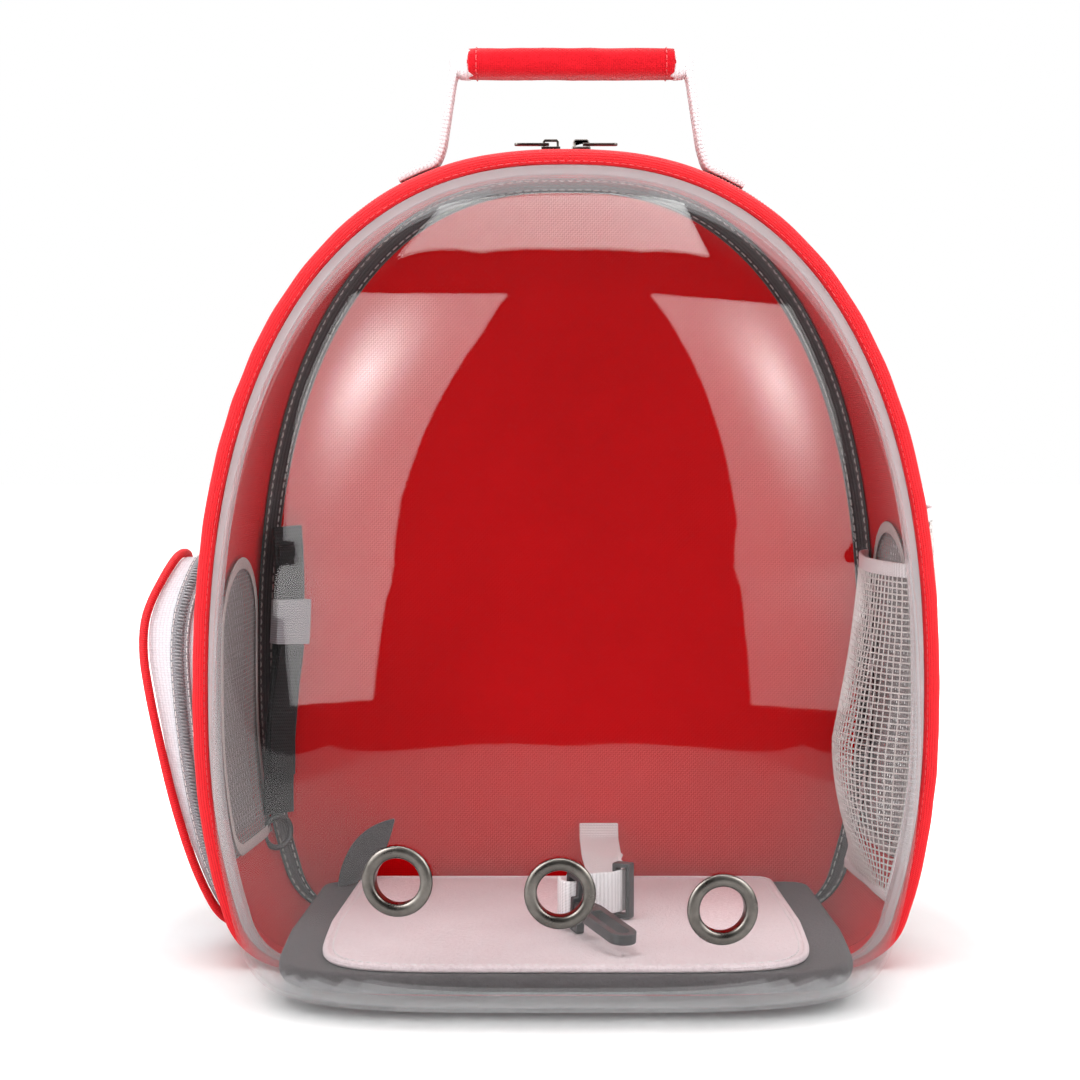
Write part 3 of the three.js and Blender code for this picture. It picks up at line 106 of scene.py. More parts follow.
@dataclass
class Skin:
    """Points and faces on their way to one mesh, with a UV in metres at each corner of a face."""

    points: Array
    faces: list[Array]
    uvs: list[Array]

    @classmethod
    def grid(cls, points: Array, rows: bool = False, cols: bool = False, ends: bool = False) -> Skin:
        """Join a grid of points: cell (i, j) has the corners (i, j), (i, j+1), (i+1, j+1), (i+1, j).

        Args:
            points: Rows by columns by three, or several such grids on a leading axis.
            rows: Whether the last row is joined to the first.
            cols: Whether the last column is joined to the first.
            ends: Whether the first and the last row are closed with a face.

        Returns:
            The skin, with distances along the columns and the rows as its UV.
        """
        stack = points.reshape((-1,) + points.shape[-3:])
        count, high, wide = stack.shape[:3]
        i, j = np.meshgrid(np.arange(high - (not rows)), np.arange(wide - (not cols)), indexing="ij")
        i = np.stack([i, i, i + 1, i + 1], -1).reshape(-1, 4)
        j = np.stack([j, j + 1, j + 1, j], -1).reshape(-1, 4)
        along, up = run_length(stack[0], 1, cols), run_length(stack[0], 0, rows)
        shift = (np.arange(count) * high * wide)[:, None, None]
        faces = [((i % high) * wide + j % wide + shift).reshape(-1, 4)]
        uvs = [np.tile(np.stack([along[j], up[i]], -1), (count, 1, 1))]
        if ends:
            ring = np.arange(wide)
            turn = ring / wide * TAU
            flat = np.stack([np.cos(turn), np.sin(turn)], -1) * along[-1] / TAU
            for order in (ring[::-1], (high - 1) * wide + ring):
                faces.append((order + shift[:, 0]).reshape(-1, wide))
                uvs.append(np.tile(flat, (count, 1, 1)))
        return cls(stack.reshape(-1, 3), faces, uvs)

    def __add__(self, other: Skin) -> Skin:
        """Both skins as one, unjoined."""
        shift = len(self.points)
        return Skin(
            np.concatenate([self.points, other.points]),
            self.faces + [face + shift for face in other.faces],
            self.uvs + other.uvs,
        )

    def outward(self) -> Skin:
        """The same closed skin with its faces turned out: turned over where its volume comes out below zero.

        Returns:
            The skin, whose volume is the sum over its triangles of a . (b x c) / 6.
        """
        volume = 0.0
        for face in self.faces:
            corner = self.points[face]
            for k in range(1, face.shape[1] - 1):
                volume += np.einsum("ij,ij->", corner[:, 0], np.cross(corner[:, k], corner[:, k + 1])) / 6
        if volume < 0:
            self.faces = [face[:, ::-1] for face in self.faces]
            self.uvs = [uv[:, ::-1] for uv in self.uvs]
        return self

    def build(self, name: str, finish: bpy.types.Material, crease: float | None = 50) -> Piece:
        """Put the skin into a mesh of its own.

        Args:
            name: The piece's name.
            finish: The material it wears.
            crease: Edges sharper than this many degrees stay sharp. None leaves all of them smooth.

        Returns:
            The object, at the origin.
        """
        mesh = bpy.data.meshes.new(name)
        corners = np.concatenate([face.ravel() for face in self.faces]).astype(np.int32)
        sizes = np.concatenate([np.full(len(face), face.shape[1]) for face in self.faces])
        mesh.vertices.add(len(self.points))
        mesh.vertices.foreach_set("co", np.ascontiguousarray(self.points, np.float32).ravel())
        mesh.loops.add(len(corners))
        mesh.polygons.add(len(sizes))
        mesh.polygons.foreach_set(
            "loop_start", np.concatenate([[0], np.cumsum(sizes)[:-1]]).astype(np.int32)
        )
        mesh.loops.foreach_set("vertex_index", corners)
        mesh.update(calc_edges=True)
        layer = mesh.uv_layers.new(name="UVMap")
        flat = np.concatenate([uv.reshape(-1, 2) for uv in self.uvs])
        layer.uv.foreach_set("vector", np.ascontiguousarray(flat, np.float32).ravel())
        mesh.validate()
        mesh.shade_smooth()
        if crease is not None:
            mesh.set_sharp_from_angle(angle=math.radians(crease))
        mesh.materials.append(finish)
        piece = bpy.data.objects.new(name, mesh)
        bpy.context.scene.collection.objects.link(piece)
        return piece

    def wear(
        self, name: str, finish: Colours, slot: str, *nodes: str, crease: float | None = 50
    ) -> Piece:
        """Put the skin into a mesh that rides on the carrier.

        Args:
            name: The piece's name.
            finish: What it wears.
            slot: Its slot.
            nodes: The CAD nodes that it replaces.
            crease: As in build.

        Returns:
            The piece.
        """
        return stand(self.build(name, finish.made, crease), "carrier", slot, *nodes)


def box_section(wide: float, thick: float, radius: float = 0.0004, corner: int = 3) -> Array:
    """The outline of a rounded box: an arc of its radius about each corner's own centre.

    Args:
        wide: Size along the first axis.
        thick: Size along the second axis.
        radius: Radius of the corners.
        corner: Points on each corner.

    Returns:
        Points, n by 2, once round.
    """
    radius = min(radius, wide / 2, thick / 2)
    turn = np.linspace(0, math.pi / 2, corner)[None] + np.arange(4)[:, None] * math.pi / 2
    side = np.array([[1, 1], [-1, 1], [-1, -1], [1, -1]]) * [wide / 2 - radius, thick / 2 - radius]
    arc = np.stack([np.cos(turn), np.sin(turn)], -1) * radius
    return (side[:, None] + arc).reshape(-1, 2)


def round_section(radius: float, sides: int = 8) -> Array:
    """A circle's outline: radius times the cosine and the sine of equal turns."""
    turn = np.arange(sides) / sides * TAU
    return np.stack([np.cos(turn), np.sin(turn)], -1) * radius


def sweep(path: Array, across: Array, section: Array, loop: bool = False) -> Skin:
    """Carry a section along a path, its first axis kept as near as it can be to a given direction.

    The width is that direction less its part along the path, and the thickness is square to both.

    Args:
        path: Points, n by 3, or several paths on a leading axis.
        across: Direction of the section's first axis, one for all or one a point.
        section: Outline, m by 2, or n by m by 2 where it changes along the path.
        loop: Whether the path's end joins its start.

    Returns:
        A closed skin with its ends capped, or a ring.
    """
    if loop:
        along = unit(np.roll(path, -1, -2) - np.roll(path, 1, -2))
    else:
        along = unit(np.gradient(path, axis=-2))
    across = np.broadcast_to(across, path.shape)
    wide = unit(across - along * np.sum(across * along, -1, keepdims=True))
    thick = np.cross(along, wide)
    shape = section if section.ndim == 3 else section[None]
    rings = (
        path[..., None, :] + wide[..., None, :] * shape[..., :1] + thick[..., None, :] * shape[..., 1:]
    )
    return Skin.grid(rings, rows=loop, cols=True, ends=not loop).outward()


def evenly(path: Array, count: int, loop: bool = False) -> Array:
    """The same line through points at equal distances along it."""
    line = np.concatenate([path, path[:1]]) if loop else path
    gone = np.concatenate([[0.0], np.cumsum(np.linalg.norm(np.diff(line[:, :3], axis=0), axis=1))])
    at = np.linspace(0, gone[-1], count, endpoint=not loop)
    return np.stack([np.interp(at, gone, line[:, k]) for k in range(line.shape[1])], -1)


def smooth_line(path: Array, count: int) -> Array:
    """A curve through a few given points, each stretch a cubic whose slopes are half of the step across.

    Args:
        path: The points, n by 3.
        count: Points wanted, at equal distances.

    Returns:
        Points, count by 3.
    """
    slope = np.gradient(path, axis=0)
    t = np.linspace(0, 1, 12, endpoint=False)[None, :, None]
    a, b, da, db = path[:-1, None], path[1:, None], slope[:-1, None], slope[1:, None]
    curve = (
        (2 * t**3 - 3 * t**2 + 1) * a + (t**3 - 2 * t**2 + t) * da + (3 * t**2 - 2 * t**3) * b
        + (t**3 - t**2) * db
    )
    return evenly(np.concatenate([curve.reshape(-1, 3), path[-1:]]), count)


def stitches(path: Array, out: Array, pitch: float = 0.004, length: float = 0.0027,
             radius: float = 0.00032, loop: bool = False) -> Skin:
    """A line of stitches: short threads along a path, each rising from the cloth and going in again.

    The height of a thread is its radius times the sine of the share of its length.

    Args:
        path: Points that the seam follows.
        out: The way out of the cloth, one for all or one a point.
        pitch: Distance from one stitch to the next.
        length: Length of a stitch.
        radius: Half of the thread's width.
        loop: Whether the seam goes all the way round.

    Returns:
        All the threads as one skin.
    """
    out = np.broadcast_to(out, path.shape)
    both = np.concatenate([path, out], -1)
    line = np.concatenate([both, both[:1]]) if loop else both
    gone = np.concatenate([[0.0], np.cumsum(np.linalg.norm(np.diff(line[:, :3], axis=0), axis=1))])
    count = max(int(gone[-1] / pitch), 2)
    share = np.linspace(0, 1, 5)
    at = (np.arange(count)[:, None] + 0.15) * gone[-1] / count + share * length
    found = np.stack([np.interp(at, gone, line[:, k]) for k in range(6)], -1)
    lift = unit(found[..., 3:]) * (np.sin(math.pi * share) * 1.2 - 0.35)[None, :, None] * radius
    return sweep(found[..., :3] + lift, found[..., 3:], round_section(radius, 5))


def threads(
    surface: Callable[[Array, Array], Array], lines: tuple[int, int], points: int, radius: float
) -> Skin:
    """A net's threads on a surface: lines of equal u and lines of equal v, each a thin four-sided tube.

    Args:
        surface: Points at shares u and v.
        lines: How many lines of equal u and of equal v.
        points: Points along each line.
        radius: Half of a thread's width.

    Returns:
        All the threads as one skin.
    """
    step = 1e-3
    along = np.linspace(0, 1, points)
    net: Skin | None = None
    for axis, count in enumerate(lines):
        if not count:
            continue
        fixed, free = np.meshgrid(np.linspace(0, 1, count), along, indexing="ij")
        u, v = (fixed, free) if axis == 0 else (free, fixed)
        here = surface(u, v)
        inside = [np.clip(value, step, 1 - step) for value in (u, v)]
        du = surface(inside[0] + step, inside[1]) - surface(inside[0] - step, inside[1])
        dv = surface(inside[0], inside[1] + step) - surface(inside[0], inside[1] - step)
        out = unit(np.cross(du, dv))
        weave = np.where((np.arange(points)[None] + np.arange(count)[:, None]) % 2, 1, -1)[..., None]
        skin = sweep(
            here + out * weave * radius * (0.25 if axis else -0.25), out, round_section(radius, 4)
        )
        net = skin if net is None else net + skin
    return net


def ripple(points: Array, height: float, length: float, seed: int) -> Array:
    """A smooth unevenness: the mean of six sine waves, whose directions and phases come from the seed.

    Args:
        points: Where to work it out, any shape by three.
        height: Its greatest size.
        length: Rough length of a wave.
        seed: Which waves to draw.

    Returns:
        One number a point.
    """
    draw = np.random.default_rng(seed)
    ways = unit(draw.normal(size=(6, 3))) * draw.uniform(0.6, 1.5, (6, 1)) * TAU / length
    return height * np.sin(points @ ways.T + draw.uniform(0, TAU, 6)).mean(-1) * 1.6


# Pieces


def stand(piece: Piece, body: str, slot: str, *nodes: str) -> Piece:
    """Let a piece ride on its body and stand for CAD nodes, which it hides.

    Args:
        piece: The finished piece.
        body: The CAD body that it moves with.
        slot: Not used.
        nodes: The CAD nodes that it stands for.

    Returns:
        The same piece.
    """
    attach(piece, body)
    if nodes:
        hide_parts(*nodes)
    log.info("%s rides on %s", piece.name, body)
    return piece


def settle(piece: Piece) -> Piece:
    """Apply a piece's modifiers to its mesh."""
    bpy.context.view_layer.update()
    graph = bpy.context.evaluated_depsgraph_get()
    made = bpy.data.meshes.new_from_object(piece.evaluated_get(graph), depsgraph=graph)
    old = piece.data
    piece.modifiers.clear()
    piece.data = made
    made.name = piece.name
    bpy.data.meshes.remove(old)
    return piece


def soften(piece: Piece, width: float, segments: int = 2) -> Piece:
    """Round a piece's sharper edges."""
    bevel = piece.modifiers.new("Rounded edges", "BEVEL")
    bevel.width = width
    bevel.segments = segments
    bevel.limit_method = "ANGLE"
    bevel.angle_limit = math.radians(32)
    bevel.harden_normals = False
    return piece


def cut_out(piece: Piece, tools: Sequence[Piece]) -> Piece:
    """Cut closed tools out of a closed piece, and remove the tools."""
    for tool in tools:
        cut = piece.modifiers.new("Cut", "BOOLEAN")
        cut.operation = "DIFFERENCE"
        cut.solver = "EXACT"
        cut.object = tool
    settle(piece)
    for tool in tools:
        bpy.data.objects.remove(tool)
    return piece


def refined(name: str, node: str, finish: bpy.types.Material, width: float, segments: int = 2) -> Piece:
    """A copy of a hard CAD node with its points merged and its edges rounded.

    Args:
        name: The new piece's name.
        node: The CAD node.
        finish: The material it wears.
        width: Width of the rounding.
        segments: Steps of the rounding.

    Returns:
        The new object, at the origin.
    """
    source = bpy.data.objects[node]
    shape = bmesh.new()
    shape.from_mesh(source.data)
    bmesh.ops.remove_doubles(shape, verts=shape.verts, dist=2e-6)
    bmesh.ops.dissolve_limit(shape, angle_limit=math.radians(2), verts=shape.verts, edges=shape.edges)
    mesh = bpy.data.meshes.new(name)
    shape.to_mesh(mesh)
    shape.free()
    mesh.materials.clear()
    mesh.materials.append(finish)
    mesh.shade_smooth()
    mesh.set_sharp_from_angle(angle=math.radians(35))
    piece = bpy.data.objects.new(name, mesh)
    bpy.context.scene.collection.objects.link(piece)
    return soften(piece, width, segments)


def puff(
    piece: Piece, voxel: float, cap: float, pressure: float = 4.0, keep: Array | None = None
) -> Piece:
    """Fill a closed piece as a cushion: remesh it, blow it up as cloth, and hold back each point's move.

    Args:
        piece: The closed piece, a little smaller than the cushion.
        voxel: Size of the remesh's cells.
        cap: The furthest a point may move, in metres.
        pressure: The cloth's pressure.
        keep: A direction in which no point moves, or None.

    Returns:
        The same piece, with nothing left live on it but one subdivision that is applied.
    """
    remesh = piece.modifiers.new("Even cells", "REMESH")
    remesh.mode = "VOXEL"
    remesh.voxel_size = voxel
    settle(piece)
    size = len(piece.data.vertices) * 3
    rest = np.zeros(size, np.float32)
    piece.data.vertices.foreach_get("co", rest)
    rest = rest.reshape(-1, 3)
    cloth = piece.modifiers.new("Filling", "CLOTH")
    cloth.settings.quality = 5
    cloth.settings.mass = 0.3
    cloth.settings.tension_stiffness = 15
    cloth.settings.compression_stiffness = 15
    cloth.settings.bending_stiffness = 0.5
    cloth.settings.use_pressure = True
    cloth.settings.uniform_pressure_force = pressure
    cloth.settings.effector_weights.gravity = 0
    cloth.collision_settings.use_collision = False
    cloth.point_cache.frame_start = 1
    cloth.point_cache.frame_end = 20
    scene = bpy.context.scene
    for frame in range(1, 21):
        scene.frame_set(frame)
    settle(piece)
    scene.frame_set(1)
    filled = np.zeros(size, np.float32)
    piece.data.vertices.foreach_get("co", filled)
    move = filled.reshape(-1, 3) - rest
    if keep is not None:
        move -= np.minimum(move @ keep, 0)[:, None] * keep
    far = np.linalg.norm(move, axis=1, keepdims=True)
    move *= np.minimum(1, cap / np.maximum(far, 1e-9))
    piece.data.vertices.foreach_set("co", (rest + move).astype(np.float32).ravel())
    finer = piece.modifiers.new("Finer", "SUBSURF")
    finer.levels = 1
    finer.render_levels = 1
    settle(piece)
    piece.data.shade_smooth()
    return piece


# Finishes


class Lie(Enum):
    """What a pattern lies on: the piece's own UV, or two of its Object axes."""

    UV = "uv"
    FRONT = "xz"
    FLAT = "xy"


class Graph:
    """A material's nodes while they are put together."""

    def __init__(self, name: str) -> None:
        """Start a material with its one Principled surface."""
        self.material = bpy.data.materials.new(name)
        self.material.use_nodes = True
        self.tree = self.material.node_tree
        self.surface = self.tree.nodes["Principled BSDF"]
        self.place = self.tree.nodes.new("ShaderNodeTexCoord")

    def node(self, kind: str, inputs: dict[str | int, object], **settings: object) -> bpy.types.Node:
        """Add a node.

        Args:
            kind: The node's type.
            inputs: A value or a socket for each input.
            settings: The node's own options.

        Returns:
            The node.
        """
        made = self.tree.nodes.new(kind)
        for key, value in settings.items():
            setattr(made, key, value)
        for key, value in inputs.items():
            if isinstance(value, bpy.types.NodeSocket):
                self.tree.links.new(value, made.inputs[key])
            else:
                made.inputs[key].default_value = value
        return made

    def math(self, operation: str, a: object, b: object = 0.0) -> Socket:
        """One sum on two numbers."""
        return self.node("ShaderNodeMath", {0: a, 1: b}, operation=operation).outputs[0]

    def scaled(self, size: Sequence[float] | float) -> Socket:
        """Object coordinates multiplied by a size on each axis."""
        by = (size,) * 3 if isinstance(size, (int, float)) else tuple(size)
        return self.node(
            "ShaderNodeVectorMath", {0: self.place.outputs["Object"], 1: by}, operation="MULTIPLY"
        ).outputs[0]

    def noise(
        self, scale: float, detail: float = 3.0, rough: float = 0.5, at: Socket | None = None
    ) -> Socket:
        """Cloudy noise on Object coordinates, or at a vector given."""
        vector = at or self.place.outputs["Object"]
        inputs = {"Vector": vector, "Scale": scale, "Detail": detail, "Roughness": rough}
        return self.node("ShaderNodeTexNoise", inputs).outputs["Fac"]

    def two_axes(self, lie: Lie) -> tuple[Socket, Socket]:
        """The two directions that a pattern runs in."""
        source = self.place.outputs["UV" if lie is Lie.UV else "Object"]
        parts = self.node("ShaderNodeSeparateXYZ", {0: source}).outputs
        first, second = ("xy" if lie is Lie.UV else lie.value)
        return parts["XYZ".index(first.upper())], parts["XYZ".index(second.upper())]

    def ridges(self, along: Socket, pitch: float) -> Socket:
        """Rounded ridges: the absolute sine of half a turn for each pitch."""
        wave = self.math("SINE", self.math("MULTIPLY", along, math.pi / pitch))
        return self.math("ABSOLUTE", wave)

    def weave(self, lie: Lie, pitch: float) -> Socket:
        """A plain weave: ridges across and along, which take turns by the sign of the two sines' product."""
        a, b = self.two_axes(lie)
        sine_a = self.math("SINE", self.math("MULTIPLY", a, math.pi / pitch))
        sine_b = self.math("SINE", self.math("MULTIPLY", b, math.pi / pitch))
        over = self.math("GREATER_THAN", self.math("MULTIPLY", sine_a, sine_b), 0.0)
        under = self.math("SUBTRACT", 1.0, over)
        warp = self.math("MULTIPLY", self.math("ABSOLUTE", sine_a), over)
        weft = self.math("MULTIPLY", self.math("ABSOLUTE", sine_b), under)
        return self.math("ADD", warp, weft)

    def colours(self, share: object, dark: Sequence[float], light: Sequence[float]) -> Socket:
        """A colour between two, by a share."""
        made = self.node("ShaderNodeMix", {0: share, 6: (*dark, 1), 7: (*light, 1)}, data_type="RGBA")
        return made.outputs[2]

    def span(
        self, value: Socket, low: float, high: float, to_low: float = 0.0, to_high: float = 1.0
    ) -> Socket:
        """A number moved from one range to another, and kept in it."""
        return self.node(
            "ShaderNodeMapRange", {0: value, 1: low, 2: high, 3: to_low, 4: to_high}
        ).outputs[0]

    def bump(
        self, height: Socket, strength: float, distance: float, under: Socket | None = None
    ) -> Socket:
        """A bump by a height, laid over another bump if one is given."""
        inputs: dict[str | int, object] = {"Height": height, "Strength": strength, "Distance": distance}
        if under is not None:
            inputs["Normal"] = under
        return self.node("ShaderNodeBump", inputs).outputs[0]

    def dress(self, **values: object) -> bpy.types.Material:
        """Set the surface's sockets, named with underscores for spaces, and give the material."""
        for key, value in values.items():
            socket = self.surface.inputs[key.replace("_", " ")]
            if isinstance(value, bpy.types.NodeSocket):
                self.tree.links.new(value, socket)
            else:
                socket.default_value = value
        return self.material


Colour = tuple[float, float, float]


@dataclass(frozen=True)
class Finish:
    """A finish, which makes its material once."""

    name: str

    def material(self) -> bpy.types.Material:
        """The finish's material, made the first time that it is asked for."""
        return bpy.data.materials.get(self.name) or self.mix(Graph(self.name))

    def mix(self, graph: Graph) -> bpy.types.Material:
        """Put the material together."""
        raise NotImplementedError


@dataclass(frozen=True)
class Cloth(Finish):
    """Woven cloth with a sheen, darker between its threads and a little uneven in colour."""

    colour: Colour
    dark: Colour
    pitch: float = 0.0011
    lie: Lie = Lie.UV
    roughness: float = 0.82
    sheen: float = 0.25
    relief: float = 0.5

    def mix(self, graph: Graph) -> bpy.types.Material:
        """Colour from the weave and two noises; bump from the weave over slow creases."""
        weave = graph.weave(self.lie, self.pitch)
        slow = graph.noise(9, 4, 0.6)
        fine = graph.noise(900, 2)
        tone = graph.math(
            "ADD", graph.span(weave, 0, 0.8, 0.0, 0.55), graph.span(slow, 0.3, 0.7, 0.0, 0.35)
        )
        tone = graph.math("ADD", tone, graph.span(fine, 0.3, 0.7, 0.0, 0.2))
        creases = graph.bump(graph.noise(38, 3), 0.25, 0.0015)
        return graph.dress(
            Base_Color=graph.colours(tone, self.dark, self.colour),
            Roughness=graph.span(slow, 0.2, 0.8, self.roughness - 0.07, self.roughness + 0.05),
            Normal=graph.bump(weave, self.relief, 0.00035, creases),
            Sheen_Weight=self.sheen,
            Sheen_Roughness=0.4,
            Specular_IOR_Level=0.0,
        )


@dataclass(frozen=True)
class Webbing(Finish):
    """Ribbed webbing or tape: ribs across it with slanting threads in them."""

    colour: Colour
    dark: Colour
    rib: float = 0.0016
    slant: float = 0.0012
    roughness: float = 0.75
    sheen: float = 0.2
    relief: float = 0.7

    def mix(self, graph: Graph) -> bpy.types.Material:
        """Ridges along the tape's length times ridges on the slant of its two directions."""
        across, along = graph.two_axes(Lie.UV)
        ribs = graph.ridges(along, self.rib)
        slant = graph.ridges(graph.math("ADD", across, graph.math("MULTIPLY", along, 0.6)), self.slant)
        height = graph.math(
            "ADD", graph.math("MULTIPLY", ribs, 0.65), graph.math("MULTIPLY", slant, 0.35)
        )
        fuzz = graph.noise(1400, 2)
        tone = graph.math(
            "ADD", graph.span(height, 0.1, 0.9, 0.0, 0.8), graph.span(fuzz, 0.3, 0.7, 0.0, 0.25)
        )
        return graph.dress(
            Base_Color=graph.colours(tone, self.dark, self.colour),
            Roughness=graph.span(fuzz, 0.2, 0.8, self.roughness - 0.06, self.roughness + 0.08),
            Normal=graph.bump(height, self.relief, 0.0004),
            Sheen_Weight=self.sheen,
            Sheen_Roughness=0.4,
            Specular_IOR_Level=0.15,
        )


@dataclass(frozen=True)
class Felt(Finish):
    """Felt or plush: no weave, only fibres and tufts at two sizes."""

    colour: Colour
    dark: Colour
    tuft: float = 420.0
    relief: float = 0.6
    depth: float = 0.0012
    sheen: float = 0.35

    def mix(self, graph: Graph) -> bpy.types.Material:
        """Colour and bump from stretched fibre noise over rounder tufts."""
        tufts = graph.noise(self.tuft, 4, 0.65)
        fibres = graph.noise(self.tuft * 3, 2, 0.5, graph.scaled((1, 0.35, 0.7)))
        slow = graph.noise(14, 3)
        tone = graph.math(
            "ADD", graph.span(tufts, 0.3, 0.7, 0.0, 0.5), graph.span(fibres, 0.3, 0.7, 0.0, 0.25)
        )
        tone = graph.math("ADD", tone, graph.span(slow, 0.35, 0.65, 0.0, 0.3))
        under = graph.bump(tufts, self.relief, self.depth)
        return graph.dress(
            Base_Color=graph.colours(tone, self.dark, self.colour),
            Roughness=graph.span(tufts, 0.2, 0.8, 0.88, 1.0),
            Normal=graph.bump(fibres, self.relief * 0.6, self.depth * 0.4, under),
            Sheen_Weight=self.sheen,
            Sheen_Roughness=0.5,
            Specular_IOR_Level=0.2,
        )


@dataclass(frozen=True)
class Metal(Finish):
    """Plated metal with faint scratches and cloudy polish."""

    colour: Colour
    worn: Colour
    roughness: float = 0.22

    def mix(self, graph: Graph) -> bpy.types.Material:
        """Roughness from clouds and stretched scratches; colour a little lighter where it is worn."""
        clouds = graph.noise(90, 4, 0.6)
        scratch = graph.noise(700, 2, 0.5, graph.scaled((0.15, 1, 2.2)))
        return graph.dress(
            Base_Color=graph.colours(graph.span(clouds, 0.42, 0.75), self.colour, self.worn),
            Metallic=1.0,
            Roughness=graph.span(clouds, 0.3, 0.7, self.roughness - 0.06, self.roughness + 0.1),
            Normal=graph.bump(scratch, 0.12, 0.0002),
        )


@dataclass(frozen=True)
class Plastic(Finish):
    """Moulded plastic with a fine grain and rubbed patches."""

    colour: Colour
    rubbed: Colour
    roughness: float = 0.42
    grain: float = 1600.0

    def mix(self, graph: Graph) -> bpy.types.Material:
        """Grain in the bump, slow patches in the colour and the roughness."""
        patches = graph.noise(60, 4, 0.6)
        return graph.dress(
            Base_Color=graph.colours(graph.span(patches, 0.4, 0.8), self.colour, self.rubbed),
            Roughness=graph.span(patches, 0.3, 0.7, self.roughness - 0.08, self.roughness + 0.12),
            Normal=graph.bump(graph.noise(self.grain, 2), 0.15, 0.0002),
        )


@dataclass(frozen=True)
class Clear(Finish):
    """Clear plastic, or a greyer and less clear one whose bands paint the reflection of a rim seen edge-on:
    what isn't gloss lets the light through.
    """

    colour: Colour
    alpha: float
    index: float
    roughness: float

    def mix(self, graph: Graph) -> bpy.types.Material:
        """One surface whose values are the same all over, as a moulded shell's are."""
        self_made = graph.dress(
            Base_Color=(*self.colour, 1),
            Alpha=self.alpha,
            IOR=self.index,
            Roughness=self.roughness,
        )
        graph.tree.nodes.remove(graph.place)
        return self_made


@dataclass(frozen=True)
class Thread(Finish):
    """Sewing thread or net cord: a fine twist along it."""

    colour: Colour
    dark: Colour
    roughness: float = 0.6

    def mix(self, graph: Graph) -> bpy.types.Material:
        """Twist lines on the slant of the thread's own two directions, with a little fuzz."""
        across, along = graph.two_axes(Lie.UV)
        twist = graph.ridges(graph.math("ADD", across, along), 0.0007)
        fuzz = graph.noise(1200, 1)
        tone = graph.math("ADD", graph.span(twist, 0, 1, 0.1, 0.8), graph.span(fuzz, 0.3, 0.7, 0.0, 0.2))
        return graph.dress(
            Base_Color=graph.colours(tone, self.dark, self.colour),
            Roughness=self.roughness,
            Normal=graph.bump(twist, 0.4, 0.0001),
            Sheen_Weight=0.15,
        )


class Colours(Enum):
    """The finishes of this carrier."""

    DOME = Clear("clear_dome", (0.02, 0.02, 0.02), 0.1, 2.3, 0.03)
    GUNMETAL = Metal("dark_gunmetal", (0.085, 0.077, 0.07), (0.15, 0.138, 0.125), 0.3)
    PIPING = Webbing(
        "red_binding_tape", (0.8, 0.012, 0.02), (0.42, 0.004, 0.007), 0.0011, 0.0009, 0.6, 0.03
    )
    RED_WALL = Cloth("red_wall_cloth", (0.66, 0.008, 0.014), (0.34, 0.003, 0.005), sheen=0.03)
    RED_BAND = Cloth("red_band_cloth", (0.76, 0.012, 0.02), (0.4, 0.004, 0.007), sheen=0.03)
    RED_PANEL = Cloth(
        "red_panel_cloth", (0.68, 0.002, 0.005), (0.46, 0.001, 0.002), lie=Lie.FRONT, sheen=0.0,
        relief=0.25
    )
    RED_STRAP = Cloth("red_strap_cloth", (0.6, 0.012, 0.02), (0.24, 0.003, 0.005), lie=Lie.FRONT)
    RED_GRIP = Cloth("red_grip_cloth", (0.72, 0.015, 0.025), (0.3, 0.003, 0.006), 0.0009)
    RED_BOARD = Cloth("red_board_cloth", (0.6, 0.01, 0.018), (0.24, 0.002, 0.004), lie=Lie.FLAT)
    ZIP_RED = Webbing("red_zip_tape", (0.5, 0.01, 0.018), (0.2, 0.003, 0.005), 0.0012, 0.001, 0.7)
    COIL_RED = Plastic("red_zip_coil", (0.25, 0.006, 0.01), (0.4, 0.012, 0.02), 0.4)
    ZIP_GREY = Webbing("grey_zip_tape", (0.36, 0.36, 0.38), (0.15, 0.15, 0.16), 0.0012, 0.001, 0.7)
    COIL_GREY = Plastic("grey_zip_coil", (0.2, 0.2, 0.21), (0.34, 0.34, 0.35), 0.4)
    SEAM_TAPE = Webbing(
        "dark_seam_tape", (0.085, 0.07, 0.072), (0.022, 0.018, 0.019), 0.0014, 0.0011, 0.8
    )
    GREY_FELT = Felt("grey_felt", (0.085, 0.073, 0.077), (0.035, 0.03, 0.032), sheen=0.1)
    GREY_NET = Thread("grey_net_cord", (0.3, 0.27, 0.27), (0.12, 0.1, 0.1))
    WHITE_NET = Thread("white_net_cord", (0.78, 0.74, 0.72), (0.5, 0.46, 0.44))
    WHITE_WEBBING = Webbing(
        "ribbed_white_webbing", (0.86, 0.84, 0.85), (0.52, 0.49, 0.5), 0.0019, 0.0014, 0.75
    )
    WHITE_CLOTH = Cloth("white_pocket_cloth", (0.84, 0.84, 0.88), (0.5, 0.5, 0.54), sheen=0.2)
    MAT = Felt("pinkish_plush", (0.9, 0.78, 0.8), (0.62, 0.47, 0.5), 520.0, 0.7, 0.0012, 0.4)
    BLACK_WEBBING = Webbing(
        "ribbed_black_webbing", (0.022, 0.021, 0.022), (0.006, 0.006, 0.006), 0.0017, 0.0013, 0.7
    )
    BLACK_PLASTIC = Plastic("moulded_black_plastic", (0.014, 0.014, 0.015), (0.04, 0.04, 0.042))
    RED_THREAD = Thread("red_thread", (0.75, 0.02, 0.03), (0.3, 0.005, 0.008))
    GREY_THREAD = Thread("grey_thread", (0.5, 0.48, 0.47), (0.25, 0.23, 0.22))
    WHITE_THREAD = Thread("white_thread", (0.85, 0.84, 0.84), (0.55, 0.53, 0.53))

    @property
    def made(self) -> bpy.types.Material:
        """The finish's material."""
        return self.value.material()


# The body's form


